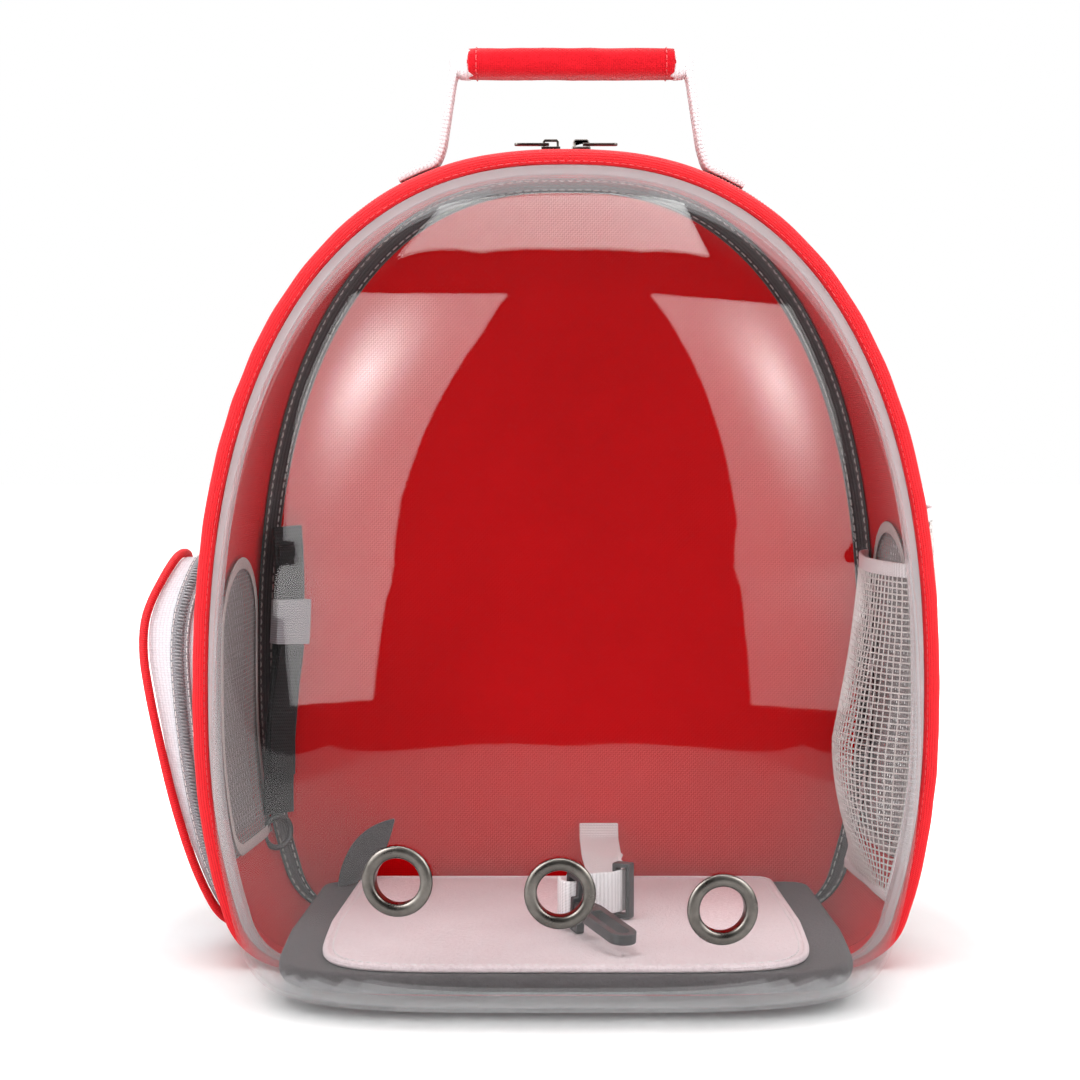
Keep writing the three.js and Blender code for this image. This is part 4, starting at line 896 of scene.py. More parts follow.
@dataclass(frozen=True)
class Form:
    """The body's outline at any depth: a flat foot, round corners, swelling sides and a high arch."""

    half_width: float = 0.177
    top: float = 0.389
    widest: float = 0.125
    top_power: float = 2.37
    side_power: float = 2.3
    corner: float = 0.036
    foot_inset: float = 0.048
    corner_end: float = math.radians(14)
    depth: float = 0.121
    side_taper: float = 0.015
    top_taper: float = 0.003
    swell: float = 0.008
    cover: float = 0.0015
    wall: float = 0.0025
    gap: float = 0.0003
    panel_inner: float = 0.1175
    steps: tuple[int, int, int, int] = (10, 14, 22, 92)

    @property
    def flange(self) -> float:
        """Y of the plane where the flange is sewn in: half of the depth towards the front."""
        return -self.depth / 2

    @property
    def corner_step(self) -> int:
        """Number of the outline's point where a lower corner ends and the side begins."""
        return self.steps[0] + self.steps[1]

    def place(self, x: Array | float, depth: Array | float, z: Array | float) -> Array:
        """Points from distances across, back and up."""
        return np.stack(np.broadcast_arrays(x, np.asarray(depth) + self.flange, z), -1).astype(float)

    def edges(self, depth: Array | float, inset: Array | float, floor: Array | float) -> dict[str, Array]:
        """The outline's measures at a depth: the sides and the top draw in evenly towards the back.

        Args:
            depth: How far back.
            inset: How far inside the outline.
            floor: How far above the foot.

        Returns:
            Half width, corner centre, corner radii, top, corner's end and the shoulders' swell.
        """
        share = np.clip(np.asarray(depth, float) / self.depth, 0, 1)
        taper, drop = self.side_taper * share, self.top_taper * share
        centre = self.half_width - self.foot_inset - taper
        radius_x, radius_z = self.corner - inset, self.corner - floor
        return {
            "half": self.half_width - taper - inset,
            "centre": centre,
            "radius_x": radius_x,
            "radius_z": radius_z,
            "top": self.top - drop - inset,
            "corner_x": centre + radius_x * math.cos(self.corner_end),
            "corner_z": self.corner - radius_z * math.sin(self.corner_end),
            "swell": self.swell * np.sin(math.pi * share),
        }

    def arch(self, turn: Array, f: dict[str, Array]) -> tuple[Array, Array]:
        """The arch over the widest height: a superellipse by turn, with its shoulders swollen."""
        cos, sin = np.maximum(np.cos(turn), 0), np.sin(turn)
        reach = (cos**self.top_power + sin**self.top_power) ** (-1 / self.top_power)
        swell = f["swell"] * 2.6 * sin * sin * cos
        return f["half"] * reach * cos + swell * cos, self.widest + (
            f["top"] - self.widest
        ) * reach * sin + swell * sin

    def side(self, z: Array, f: dict[str, Array]) -> Array:
        """Half width below the widest height: it draws in by a power of the share of the height."""
        share = np.clip((self.widest - z) / (self.widest - f["corner_z"]), 0, 1)
        return f["half"] - (f["half"] - f["corner_x"]) * share**self.side_power

    def loop(self, depth: Array | float, inset: Array | float = 0.0, floor: Array | float = 0.0) -> Array:
        """Closed outlines, one for each depth: foot, corner, side and arch, and the same mirrored.

        Args:
            depth: How far back, one a row.
            inset: How far inside the outline.
            floor: How far above the foot.

        Returns:
            Points, rows by points by three, from the middle of the foot, right side first.
        """
        depth, inset, floor = np.broadcast_arrays(*np.atleast_1d(depth, inset, floor))
        depth, inset, floor = (part[:, None].astype(float) for part in (depth, inset, floor))
        f = self.edges(depth, inset, floor)
        foot, corner, side, top = (np.arange(1, count + 1) / count for count in self.steps)
        turn = -math.pi / 2 + (math.pi / 2 - self.corner_end) * corner
        side_z = f["corner_z"] + (self.widest - f["corner_z"]) * side
        arch_x, arch_z = self.arch(math.pi / 2 * top, f)
        x = [
            0 * depth, f["centre"] * foot, f["centre"] + f["radius_x"] * np.cos(turn),
            self.side(side_z, f), arch_x
        ]
        z = [floor, floor + 0 * foot, self.corner + f["radius_z"] * np.sin(turn), side_z, arch_z]
        right_x, right_z = np.concatenate(x, 1), np.concatenate(z, 1)
        all_x = np.concatenate([right_x, -right_x[:, -2:0:-1]], 1)
        all_z = np.concatenate([right_z, right_z[:, -2:0:-1]], 1)
        return self.place(all_x, depth, all_z)

    def band(self, section: Array, open_foot: bool = False) -> Skin:
        """A band whose section, rows of depth, inset and floor height, is carried round the outline.

        Args:
            section: Once round, m by 3.
            open_foot: Whether the band stops at the two lower corners.

        Returns:
            A closed skin.
        """
        grid = self.loop(section[:, 0], section[:, 1], section[:, 2])
        if not open_foot:
            return Skin.grid(grid, rows=True, cols=True).outward()
        part = grid[:, self.corner_step : grid.shape[1] - self.corner_step + 1]
        return Skin.grid(part.transpose(1, 0, 2), cols=True, ends=True).outward()

    def out(self, line: Array) -> Array:
        """The way out of the body at points of an outline: its direction turned by a quarter."""
        along = unit(np.roll(line, -1, -2) - np.roll(line, 1, -2))
        return np.stack([along[..., 2], 0 * along[..., 0], -along[..., 0]], -1)

    def wall_x(self, depth: Array | float, z: Array | float, inset: float = 0.0) -> Array:
        """Half width of the body at a depth and a height; over the widest height by halving the turn.

        Args:
            depth: How far back.
            z: How high.
            inset: How far inside the outline.

        Returns:
            The distance from the middle.
        """
        depth, z = np.broadcast_arrays(np.asarray(depth, float), np.asarray(z, float))
        f = self.edges(depth, inset, 0.0)
        low, high = np.zeros(z.shape), np.full(z.shape, math.pi / 2)
        for _ in range(32):
            middle = (low + high) / 2
            below = self.arch(middle, f)[1] < z
            low, high = np.where(below, middle, low), np.where(below, high, middle)
        share = np.clip((self.corner - z) / f["radius_z"], 0, 1)
        corner = f["centre"] + f["radius_x"] * np.sqrt(1 - share**2)
        lower = np.where(z >= f["corner_z"], self.side(z, f), corner)
        return np.where(z > self.widest, self.arch(low, f)[0], lower)

    def roof_z(self, depth: float, x: Array | float, inset: float = 0.0) -> Array:
        """Height of the body's top at a depth and a distance from the middle, by halving the turn."""
        x = np.abs(np.asarray(x, float))
        f = self.edges(depth, inset, 0.0)
        low, high = np.zeros(x.shape), np.full(x.shape, math.pi / 2)
        for _ in range(32):
            middle = (low + high) / 2
            wide = self.arch(middle, f)[0] > x
            low, high = np.where(wide, middle, low), np.where(wide, high, middle)
        return self.arch(low, f)[1]


def revolve(profile: Array, centre: Array, axis: Array, count: int = 56) -> Skin:
    """Turn a closed profile of radius and height about an axis.

    Args:
        profile: Radius and height, m by 2.
        centre: Where height and radius are nothing.
        axis: The direction of height.
        count: Steps round.

    Returns:
        A closed skin.
    """
    first = unit(np.cross(axis, UP + 0.01 * ACROSS))
    second = np.cross(axis, first)
    turn = np.arange(count) / count * TAU
    ways = np.cos(turn)[:, None] * first + np.sin(turn)[:, None] * second
    grid = centre + ways[:, None] * profile[None, :, :1] + axis * profile[None, :, 1:]
    return Skin.grid(grid, rows=True, cols=True).outward()


# Bubble


@dataclass
class Bubble:
    """The clear moulded front with its flange, and the three rings of its air holes."""

    form: Form
    depth: float = 0.126
    wall: float = 0.0016
    inset: float = 0.0115
    floor: float = 0.004
    centre_z: float = 0.118
    top_power: float = 2.15
    floor_power: float = 11.0
    plan_power: float = 2.4
    plan_low: float = 3.8
    plan_fade: float = 0.2
    rows: int = 46
    lip: float = 0.0008
    # How far the bands of painted reflection reach from the flange and from the foot, and how many steps
    # they have.
    rim_reach: float = 0.045
    foot_reach: float = 0.022
    painted_reflection_steps: int = 9
    hole: float = 0.01
    ring: float = 0.0155
    barrel: float = 0.0113
    spots: tuple[tuple[str, float, float], ...] = (
        ("eyelet_left", -0.0726, 0.068),
        ("eyelet_middle", -0.0026, 0.0632),
        ("eyelet_right", 0.0674, 0.0558),
    )

    def field(self, x: Array, reach: Array, z: Array, wall: float) -> Array:
        """Below 1 inside the bubble: a superellipse in plan, whose own size and power change with height."""
        form, inset, floor = self.form, self.inset + wall, self.floor + wall
        top = form.top - inset
        high = z >= self.centre_z
        power = np.where(high, self.top_power, self.floor_power)
        span = np.where(high, top - self.centre_z, self.centre_z - floor)
        share = np.clip(np.abs(z - self.centre_z) / span, 0, 1)
        depth = (self.depth - wall) * (1 - share**power) ** (1 / power)
        plan = self.plan_power + (self.plan_low - self.plan_power) * np.clip(1 - z / self.plan_fade, 0, 1)
        f = form.edges(0.0, inset, floor)
        rise = np.clip((z - form.widest) / (f["top"] - form.widest), 0, 1)
        drop = np.clip((form.corner - z) / f["radius_z"], 0, 1)
        corner = f["centre"] + f["radius_x"] * np.sqrt(1 - drop**2)
        half = np.where(
            z >= form.widest,
            f["half"] * (1 - rise**form.top_power) ** (1 / form.top_power),
            np.where(z >= f["corner_z"], form.side(z, f), corner),
        )
        value = (np.abs(x) / np.maximum(half, 1e-9)) ** plan + (reach / np.maximum(depth, 1e-9)) ** plan
        return np.where((z <= floor) | (z >= top), 2.0, value)

    def rings(self, wall: float) -> Array:
        """Rings from the flange to the front: rays from the middle meet the field's surface, by halving.

        Args:
            wall: How far inside the outer surface.

        Returns:
            Points, rings by points by three.
        """
        feet = self.form.loop(0.0, self.inset + wall, self.floor + wall)[0]
        share = (np.arange(self.rows) + 1) / (self.rows + 0.35)
        turn = share[:, None] * math.pi / 2
        x = feet[None, :, 0] * np.cos(turn)
        rise = (feet[None, :, 2] - self.centre_z) * np.cos(turn)
        reach = (self.depth - wall) * np.sin(turn) + 0 * x
        low, high = np.full(x.shape, 0.3), np.full(x.shape, 2.5)
        for _ in range(40):
            middle = (low + high) / 2
            inside = self.field(middle * x, middle * reach, self.centre_z + middle * rise, wall) < 1
            low, high = np.where(inside, middle, low), np.where(inside, high, middle)
        return self.form.place(low * x, -low * reach, self.centre_z + low * rise)

    def spot(self, x: float, z: float) -> tuple[Array, Array]:
        """Where a hole meets the bubble, and the way out there: the field's slope."""
        low, high = 0.0, self.depth
        for _ in range(40):
            middle = (low + high) / 2
            inside = self.field(np.array(x), np.array(middle), np.array(z), 0.0) < 1
            low, high = (middle, high) if inside else (low, middle)
        step = np.eye(3) * 5e-4
        at = np.array([x, low - 1e-3, z])
        slope = self.field(*(at + step).T, 0.0) - self.field(*(at - step).T, 0.0)
        return self.form.place(x, -low, z), unit(slope * [1, -1, 1])

    def shell(self) -> Piece:
        """The two-walled shell: inner rings, the flange and outer rings, with the holes drilled and greyer
        bands of painted reflection towards the flange and the foot.
        """
        form = self.form
        lips = form.loop(
            np.array([1, 1, -1, -1]) * self.lip,
            np.array([self.inset + self.wall, 0.0073, 0.0073, self.inset]),
            np.array([self.floor + self.wall, 0.0032, 0.0032, self.floor]),
        )
        grid = np.concatenate([self.rings(self.wall)[::-1], lips, self.rings(0.0)])
        piece = Skin.grid(grid, cols=True, ends=True).outward().build(
            "bubble_clear_shell", Colours.DOME.made, 60
        )
        # Painted reflection: greyer, less clear copies of the plastic stand for the shell's reflection where
        # it is seen edge-on, near the flange and the foot.
        for k in range(1, self.painted_reflection_steps):
            share = k / (self.painted_reflection_steps - 1)
            rim_reflection = Clear(
                f"painted_rim_reflection_{k}", (0.6, 0.61, 0.62), 0.1 + 0.42 * share, 2.3 - 0.6 * share,
                0.05 + 0.1 * share
            )
            piece.data.materials.append(rim_reflection.material())
        drills = []
        for name, x, z in self.spots:
            at, out = self.spot(x, z)
            line = at + out * np.array([[-0.02], [0.02]])
            drills.append(
                sweep(
                    line, ACROSS, round_section(self.barrel + form.gap, 72)
                ).build(name + "_drill", Colours.DOME.made)
            )
        cut_out(piece, drills)
        count = len(piece.data.polygons)
        middles = np.zeros(count * 3, np.float32)
        piece.data.polygons.foreach_get("center", middles)
        middles = middles.reshape(-1, 3)
        # Each face takes its step of painted reflection by how near it is to the flange or the foot.
        rim = 1 - (form.flange - middles[:, 1]) / self.rim_reach
        foot = 0.8 * (1 - (middles[:, 2] - self.floor) / self.foot_reach)
        near = np.clip(np.maximum(rim, foot), 0, 1) ** 1.5
        piece.data.polygons.foreach_set(
            "material_index", np.rint(near * (self.painted_reflection_steps - 1)).astype(np.int32)
        )
        piece.data.set_sharp_from_angle(angle=math.radians(60))
        return stand(piece, "carrier", "clear_plastic", "bubble_shell")

    def ring_profile(self) -> Array:
        """A ring's section: a rounded crown outside, the barrel through the wall and a washer inside."""
        turn = np.linspace(0, math.pi, 15)
        middle, half = (self.hole + self.ring) / 2, (self.ring - self.hole) / 2
        crown = np.stack([middle - half * np.cos(turn), 0.0006 + 0.0019 * np.sin(turn) ** 0.8], -1)
        behind = -(self.wall + 0.0028)
        back = [
            (self.ring - 0.0004, 0.0004), (self.barrel, 0.0004), (self.barrel, behind),
            (self.ring - 0.0018, behind), (self.ring - 0.0015, behind - 0.0004),
            (self.ring - 0.0018, behind - 0.0009), (self.hole + 0.0004, behind - 0.0009),
            (self.hole, behind - 0.0004),
        ]
        return np.concatenate([crown, back])

    def build(self) -> None:
        """Make the shell and its rings."""
        self.shell()
        for name, x, z in self.spots:
            at, out = self.spot(x, z)
            ring = revolve(self.ring_profile(), at, out, 64).build(
                name + "_ring", Colours.GUNMETAL.made, 40
            )
            stand(ring, "carrier", "gunmetal", name)


# Front edge


@dataclass
class FrontEdge:
    """Red binding, door band, main zip with its pullers, and the cloth hinge at the foot."""

    form: Form
    binding: float = 0.007
    binding_front: float = 0.0034
    binding_back: float = 0.005
    band_start: float = 0.0053
    band_depth: float = 0.0085
    zip_start: float = 0.0141
    zip_depth: float = 0.012
    coil: float = 0.0048
    coil_pitch: float = 0.0017

    @staticmethod
    def section(
        start: float, end: float, inner: float, outer: float, radius: float, rise: float = 1.0
    ) -> Array:
        """A rounded box in depth and inset, its floor height a fixed share of the inset from outside."""
        shape = box_section(end - start, inner - outer, radius, 5)
        depth = (start + end) / 2 + shape[:, 0]
        inset = (inner + outer) / 2 + shape[:, 1]
        return np.stack([depth, inset, (inset - outer) * rise], -1)

    def bound_edge(self) -> None:
        """The piping that wraps the flange: a soft box section, a little uneven, with a seam beside it."""
        section = self.section(-self.binding_front, self.binding_back, self.binding, 0.0, 0.0026, 2.9 / 7)
        skin = self.form.band(section)
        skin.points += unit(skin.points - [0, 0, 0.16]) * ripple(skin.points, 0.00025, 0.03, 4)[:, None]
        skin.wear("front_binding_piping", Colours.PIPING, "red_piping", "front_binding")
        seam = self.form.loop(-self.binding_front + 0.0001, 0.0058, 0.0022)[0]
        sewn = stitches(seam, -BACK, 0.0036, 0.0025, 0.00024, loop=True)
        sewn.wear("front_binding_seam", Colours.RED_THREAD, "red_piping")

    def door_band(self) -> None:
        """The flat cloth strip behind the binding, with a seam along its front."""
        form = self.form
        end = self.band_start + self.band_depth
        section = self.section(self.band_start, end, form.cover + form.wall, form.cover, 0.0008)
        form.band(section).wear("door_band_cloth", Colours.RED_BAND, "red_fabric", "door_band")
        line = form.loop(self.band_start + 0.0022, form.cover, 0.0)[0]
        seam = stitches(line, form.out(line), 0.0036, 0.0025, 0.00024, loop=True)
        seam.wear("door_band_seam", Colours.RED_THREAD, "red_fabric")

    def coil_loops(
        self, line: Array, out: Array, across: Array, half: float, pitch: float, thick: float
    ) -> Skin:
        """A zip's coil: at each step a low arch of wire across the tape, joined by the next one's slant.

        Args:
            line: The zip's middle line.
            out: The way out of the tape, one a point.
            across: Direction across the tape.
            half: Half of the coil's width.
            pitch: Distance between its loops.
            thick: Radius of the wire.

        Returns:
            All the loops as one skin.
        """
        both = np.concatenate([line, out], -1)
        gone = np.concatenate([[0.0], np.cumsum(np.linalg.norm(np.diff(line, axis=0), axis=1))])
        at = np.arange(pitch, gone[-1] - pitch, pitch)
        found = np.stack([np.interp(at, gone, both[:, k]) for k in range(6)], -1)
        ahead = (
            np.stack([np.interp(at + pitch * 0.4, gone, both[:, k]) for k in range(3)], -1) - found[:, :3]
        )
        share = np.linspace(-1, 1, 6)[None, :, None]
        way = unit(found[:, None, 3:])
        path = (
            found[:, None, :3] + np.asarray(across) * share * half + way * (1 - share**4) * thick * 1.6
            + ahead[:, None] * share * 0.5
        )
        return sweep(path, way, round_section(thick, 5))

    def main_zip(self) -> None:
        """Two tapes with a coil in the gap between them, round the arch from corner to corner."""
        form = self.form
        middle, end = self.zip_start + self.zip_depth / 2, self.zip_start + self.zip_depth
        face, half = form.cover + 0.0004, self.coil / 2
        section = np.array([
            (self.zip_start, face, 0), (middle - half - 0.0008, face - 0.0003, 0),
            (middle - half, face + 0.0006, 0),
            (middle + half, face + 0.0006, 0), (middle + half + 0.0008, face - 0.0003, 0), (end, face, 0),
            (end, face + 0.0014, 0.002), (self.zip_start, face + 0.0014, 0.002),
        ])
        form.band(section, open_foot=True).wear(
            "main_zip_tapes", Colours.ZIP_RED, "zip_red", "zip_tape", crease=40
        )
        whole = form.loop(middle, face + 0.0002, 0.0)[0]
        out = form.out(whole)
        part = slice(form.corner_step, len(whole) - form.corner_step + 1)
        loops = self.coil_loops(whole[part], out[part], BACK, half * 0.86, self.coil_pitch, 0.00055)
        loops.wear("main_zip_coil", Colours.COIL_RED, "zip_red", crease=None)

    def hinge(self) -> None:
        """The cloth under the zip's two ends, on which the front folds down."""
        form = self.form
        end = self.zip_start + self.zip_depth
        section = self.section(self.zip_start, end, form.cover + form.wall, form.cover, 0.0008)
        grid = form.loop(section[:, 0], section[:, 1], section[:, 2])
        step = form.corner_step - 1
        part = np.concatenate([grid[:, -step:], grid[:, : step + 1]], 1).transpose(1, 0, 2)
        Skin.grid(part, cols=True, ends=True).outward().wear(
            "hinge_cloth_strip", Colours.RED_BAND, "red_fabric", "hinge_cloth"
        )

    def pullers(self) -> None:
        """The two sliders and their tabs, with rounded edges."""
        for side in ("left", "right"):
            slider = refined(
                f"zip_slider_{side}_cast", f"zip_slider_{side}", Colours.GUNMETAL.made, 0.0005, 3
            )
            stand(slider, "carrier", "gunmetal", f"zip_slider_{side}")
            tab = refined(f"zip_tab_{side}_pull", f"zip_tab_{side}", Colours.GUNMETAL.made, 0.00035, 3)
            stand(tab, f"{side}_tab", "gunmetal", f"zip_tab_{side}")

    def build(self) -> None:
        """Make the front edge from the bubble backwards."""
        self.bound_edge()
        self.door_band()
        self.main_zip()
        self.hinge()
        self.pullers()


# Body


@dataclass
class Body:
    """The cloth wall with a window in each side, the padded back and the tape in its corner."""

    form: Form
    start: float = 0.0264
    window_front: float = 0.035
    window_back: float = 0.097
    window_foot: float = 0.054
    window_top: dict[str, float] = field(default_factory=lambda: {"left": 0.185, "right": 0.203})
    overlap: float = 0.006
    net_gap: float = 0.0008
    net_pitch: float = 0.0022
    net_cord: float = 0.00029
    panel_front: float = 0.0035
    panel_thick: float = 0.013
    rear_width: float = 0.0078
    rear_depth: float = 0.008
    tape: float = 0.007

    def window_line(self, side: str, grow: float, count: int) -> Array:
        """A window's outline in depth and height: a flat foot, straight jambs and a half circle.

        Args:
            side: "left" or "right".
            grow: How far outside the cut edge.
            count: Points wanted.

        Returns:
            Points, count by 2, at equal distances.
        """
        middle = (self.window_front + self.window_back) / 2
        radius = (self.window_back - self.window_front) / 2 + grow
        spring = self.window_top[side] - (self.window_back - self.window_front) / 2
        turn = np.linspace(0, math.pi, 40)
        arc = np.stack([middle + radius * np.cos(turn), spring + radius * np.sin(turn)], -1)
        foot = self.window_foot - grow
        round_foot = min(0.006 + grow, radius)
        quarter = np.linspace(0, math.pi / 2, 6)
        left = np.stack(
            [
                middle - radius + round_foot * (1 - np.cos(quarter)),
                foot + round_foot * (1 - np.sin(quarter))
            ],
            -1
        )
        right = left[::-1] * [-1, 1] + [2 * middle, 0]
        return evenly(np.concatenate([arc, left, right]), count, loop=True)

    def wall(self) -> None:
        """The wall: rows of outlines outside and inside, with the windows cut, then eased as cloth."""
        form = self.form
        depths = np.linspace(self.start, form.depth, 12)
        section = np.concatenate([
            np.stack([depths, 0 * depths + form.cover, 0 * depths], -1),
            np.stack([depths[::-1], 0 * depths + form.cover + form.wall, 0 * depths + form.wall], -1),
        ])
        skin = form.band(section)
        ease = np.sin(
            math.pi
            * np.clip((skin.points[:, 1] - form.flange - self.start) / (form.depth - self.start), 0, 1)
        )
        away = unit((skin.points - [0, 0, 0.16]) * [1, 0, 1])
        skin.points += (
            away * (ripple(skin.points, 0.0009, 0.11, 7) * ease * (skin.points[:, 2] > 0.02))[:, None]
        )
        piece = skin.build("body_wall_cloth", Colours.RED_WALL.made)
        tools = []
        for side, sign in (("left", -1), ("right", 1)):
            line = self.window_line(side, 0.0, 96)
            ends = np.stack([form.place(sign * x, line[:, 0], line[:, 1]) for x in (0.09, 0.25)])
            tools.append(
                Skin.grid(ends, cols=True, ends=True).outward().build(
                    side + "_window_tool", Colours.RED_WALL.made
                )
            )
        cut_out(piece, tools)
        stand(piece, "carrier", "red_fabric", "body_wall")

    def window(self, side: str, sign: int) -> None:
        """A window's bound edge, its net of fine cord, and the seam that holds it.

        Args:
            side: "left" or "right".
            sign: -1 or 1.
        """
        form = self.form
        line = self.window_line(side, 0.0, 120)
        middle = form.cover + form.wall / 2
        at = form.place(sign * form.wall_x(line[:, 0], line[:, 1], middle), line[:, 0], line[:, 1])
        edge = sweep(at, sign * ACROSS, box_section(form.wall + 0.0016, 0.0034, 0.0015, 4), loop=True)
        edge.wear(f"window_{side}_edge", Colours.PIPING, "red_fabric")
        outer = self.window_line(side, 0.0032, 130)
        seam_at = form.place(
            sign * form.wall_x(outer[:, 0], outer[:, 1], form.cover), outer[:, 0], outer[:, 1]
        )
        stitches(seam_at, sign * ACROSS, loop=True).wear(
            f"window_{side}_seam", Colours.RED_THREAD, "red_fabric"
        )

        inset = form.cover + form.wall + self.net_gap + 0.0005
        low, high = self.window_front - self.overlap, self.window_back + self.overlap
        half, centre = (high - low) / 2, (high + low) / 2
        foot, top = self.window_foot - self.overlap, self.window_top[side] + self.overlap
        spring = top - half

        def lie(depth: Array, z: Array) -> Array:
            """A point of the net, just inside the wall."""
            return form.place(sign * form.wall_x(depth, z, inset), depth, z)

        def upright(u: Array, v: Array) -> Array:
            """Lines up to the arch: the height at v of the half circle's own height there."""
            depth = low + (high - low) * u
            arch = spring + np.sqrt(np.maximum(half**2 - (depth - centre) ** 2, 0))
            return lie(depth, foot + (arch - foot) * v)

        def level(u: Array, v: Array) -> Array:
            """Level lines, as long as the arch is wide at their height."""
            z = foot + (top - foot) * v * 0.995
            wide = np.sqrt(np.maximum(half**2 - np.maximum(z - spring, 0) ** 2, 0))
            return lie(centre + wide * (2 * u - 1), z)

        across, up = int((high - low) / self.net_pitch), int((top - foot) / self.net_pitch)
        net = (
            threads(upright, (across, 0), 34, self.net_cord) + threads(level, (0, up), 20, self.net_cord)
        )
        piece = net.wear(
            f"window_net_{side}_cords", Colours.GREY_NET, "grey_net", f"window_net_{side}", crease=None
        )

        inner = self.window_line(side, 0.0042, 120)
        band_at = form.place(
            sign * form.wall_x(inner[:, 0], inner[:, 1], inset + 0.0009), inner[:, 0], inner[:, 1]
        )
        trim = sweep(band_at, sign * ACROSS, box_section(0.0007, 0.0056, 0.0003), loop=True)
        trim.wear(f"window_{side}_inner_trim", Colours.GREY_THREAD, "grey_net")

    def panel_ring(self, scale: Array, depth: Array) -> Array:
        """Outlines of the back panel, scaled about its own middle height."""
        form = self.form
        edge = form.loop(form.depth, 0.0081, 0.0032)[0]
        middle = form.top / 2
        x = edge[None, :, 0] * scale[:, None]
        z = middle + (edge[None, :, 2] - middle) * scale[:, None]
        return form.place(x, np.asarray(depth)[:, None], z)

    def panel(self) -> None:
        """The padded back: filled by simulation towards the rear, then sewn through in channels."""
        form = self.form
        scale = np.concatenate([np.linspace(0.02, 1, 40), np.linspace(1, 0.02, 40)])
        depth = form.panel_inner + np.repeat([0.0, 0.001], 40)
        skin = Skin.grid(self.panel_ring(scale, depth), cols=True, ends=True).outward()
        skin.points[:, 1] += (
            np.abs(ripple(skin.points, 0.0005, 0.14, 12)) * (np.abs(skin.points[:, 0]) < 0.14)
        )
        skin.wear("back_panel_lining", Colours.RED_PANEL, "red_fabric", "back_panel")
        inner, rear = form.panel_inner + 0.0018, form.depth + self.panel_front
        outer = form.panel_inner + self.panel_thick
        scale = np.concatenate(
            [np.linspace(0.02, 1, 26), np.linspace(1, 0.97, 3)[1:], np.linspace(0.95, 0.02, 24)]
        )
        back = rear + (outer - 0.0045 - rear) * np.clip((0.97 - scale[28:]) / 0.12, 0, 1) ** 0.6
        depth = np.concatenate([np.full(26, inner), [rear - 0.001, rear], back])
        skin = Skin.grid(self.panel_ring(scale, depth), cols=True, ends=True).outward()
        piece = skin.build("back_panel_pad", Colours.RED_PANEL.made)
        puff(piece, 0.006, 0.0042, 4.0, keep=BACK)
        size = len(piece.data.vertices)
        at = np.zeros(size * 3, np.float32)
        piece.data.vertices.foreach_get("co", at)
        at = at.reshape(-1, 3)
        behind = np.clip((at[:, 1] - form.flange - inner - 0.004) / 0.004, 0, 1)
        for line in (at[:, 2] - 0.13, at[:, 2] - 0.215, at[:, 2] - 0.295, np.abs(at[:, 0]) - 0.118):
            at[:, 1] -= 0.0034 * np.exp(-((line / 0.0042) ** 2)) * behind
        at[:, 1] = np.clip(at[:, 1], form.flange + inner, form.flange + outer)
        piece.data.vertices.foreach_set("co", at.astype(np.float32).ravel())
        piece.data.update()
        stand(piece, "carrier", "red_fabric", "back_panel")

    def rear(self) -> None:
        """The piping round the back seam, with a seam of stitches."""
        form = self.form
        start = form.depth + form.gap
        section = FrontEdge.section(
            start, start + self.rear_depth, self.rear_width, 0.0, 0.0028, 2.9 / 7.8
        )
        form.band(section).wear("rear_binding_piping", Colours.PIPING, "red_piping", "rear_binding")
        line = form.loop(start + self.rear_depth, 0.0062, 0.0024)[0]
        seam = stitches(line, BACK, 0.0036, 0.0025, 0.00024, loop=True)
        seam.wear("rear_binding_seam", Colours.RED_THREAD, "red_piping")

    def corner_tape(self) -> None:
        """Dark tape folded into the inner back corner, sewn along both of its edges."""
        form = self.form
        inset, floor = form.cover + form.wall + 2 * form.gap, form.wall + 2 * form.gap
        back = form.panel_inner - form.gap
        bend = np.linspace(0, math.pi / 2, 7)
        wide, thick = self.tape, 0.0011
        inner = np.stack(
            [
                back - thick - (wide - thick) * (1 - np.sin(bend)) ** 2,
                inset + thick + (wide - thick) * (1 - np.cos(bend)) ** 2
            ],
            -1
        )
        section = np.concatenate(
            [[(back - wide, inset), (back, inset), (back, inset + wide)], inner[::-1]]
        )
        rise = floor + (section[:, 1] - inset) * 0.16
        form.band(np.column_stack([section, rise])).wear(
            "seam_tape_folded", Colours.SEAM_TAPE, "grey_fabric", "seam_tape"
        )
        on_panel = form.loop(back - thick - 0.0001, inset + wide - 0.0014, floor + 0.0009)[0]
        on_wall = form.loop(back - wide + 0.0012, inset + thick + 0.0001, floor + 0.0005)[0]
        seams = stitches(on_panel, -BACK, 0.0044, 0.0028, 0.00036, loop=True)
        seams = seams + stitches(on_wall, -form.out(on_wall), 0.0044, 0.0028, 0.00036, loop=True)
        seams.wear("seam_tape_stitches", Colours.GREY_THREAD, "grey_fabric")

    def build(self) -> None:
        """Make the wall, its windows and the back."""
        self.wall()
        self.window("left", -1)
        self.window("right", 1)
        self.panel()
        self.rear()
        self.corner_tape()


# Nets on the right


def eased(path: Array, count: int, passes: int) -> Array:
    """The same line with its corners rounded: each of its even points is averaged with the next."""
    line = evenly(path, count)
    for _ in range(passes):
        line[1:-1] = (line[:-2] + 2 * line[1:-1] + line[2:]) / 4
    return line


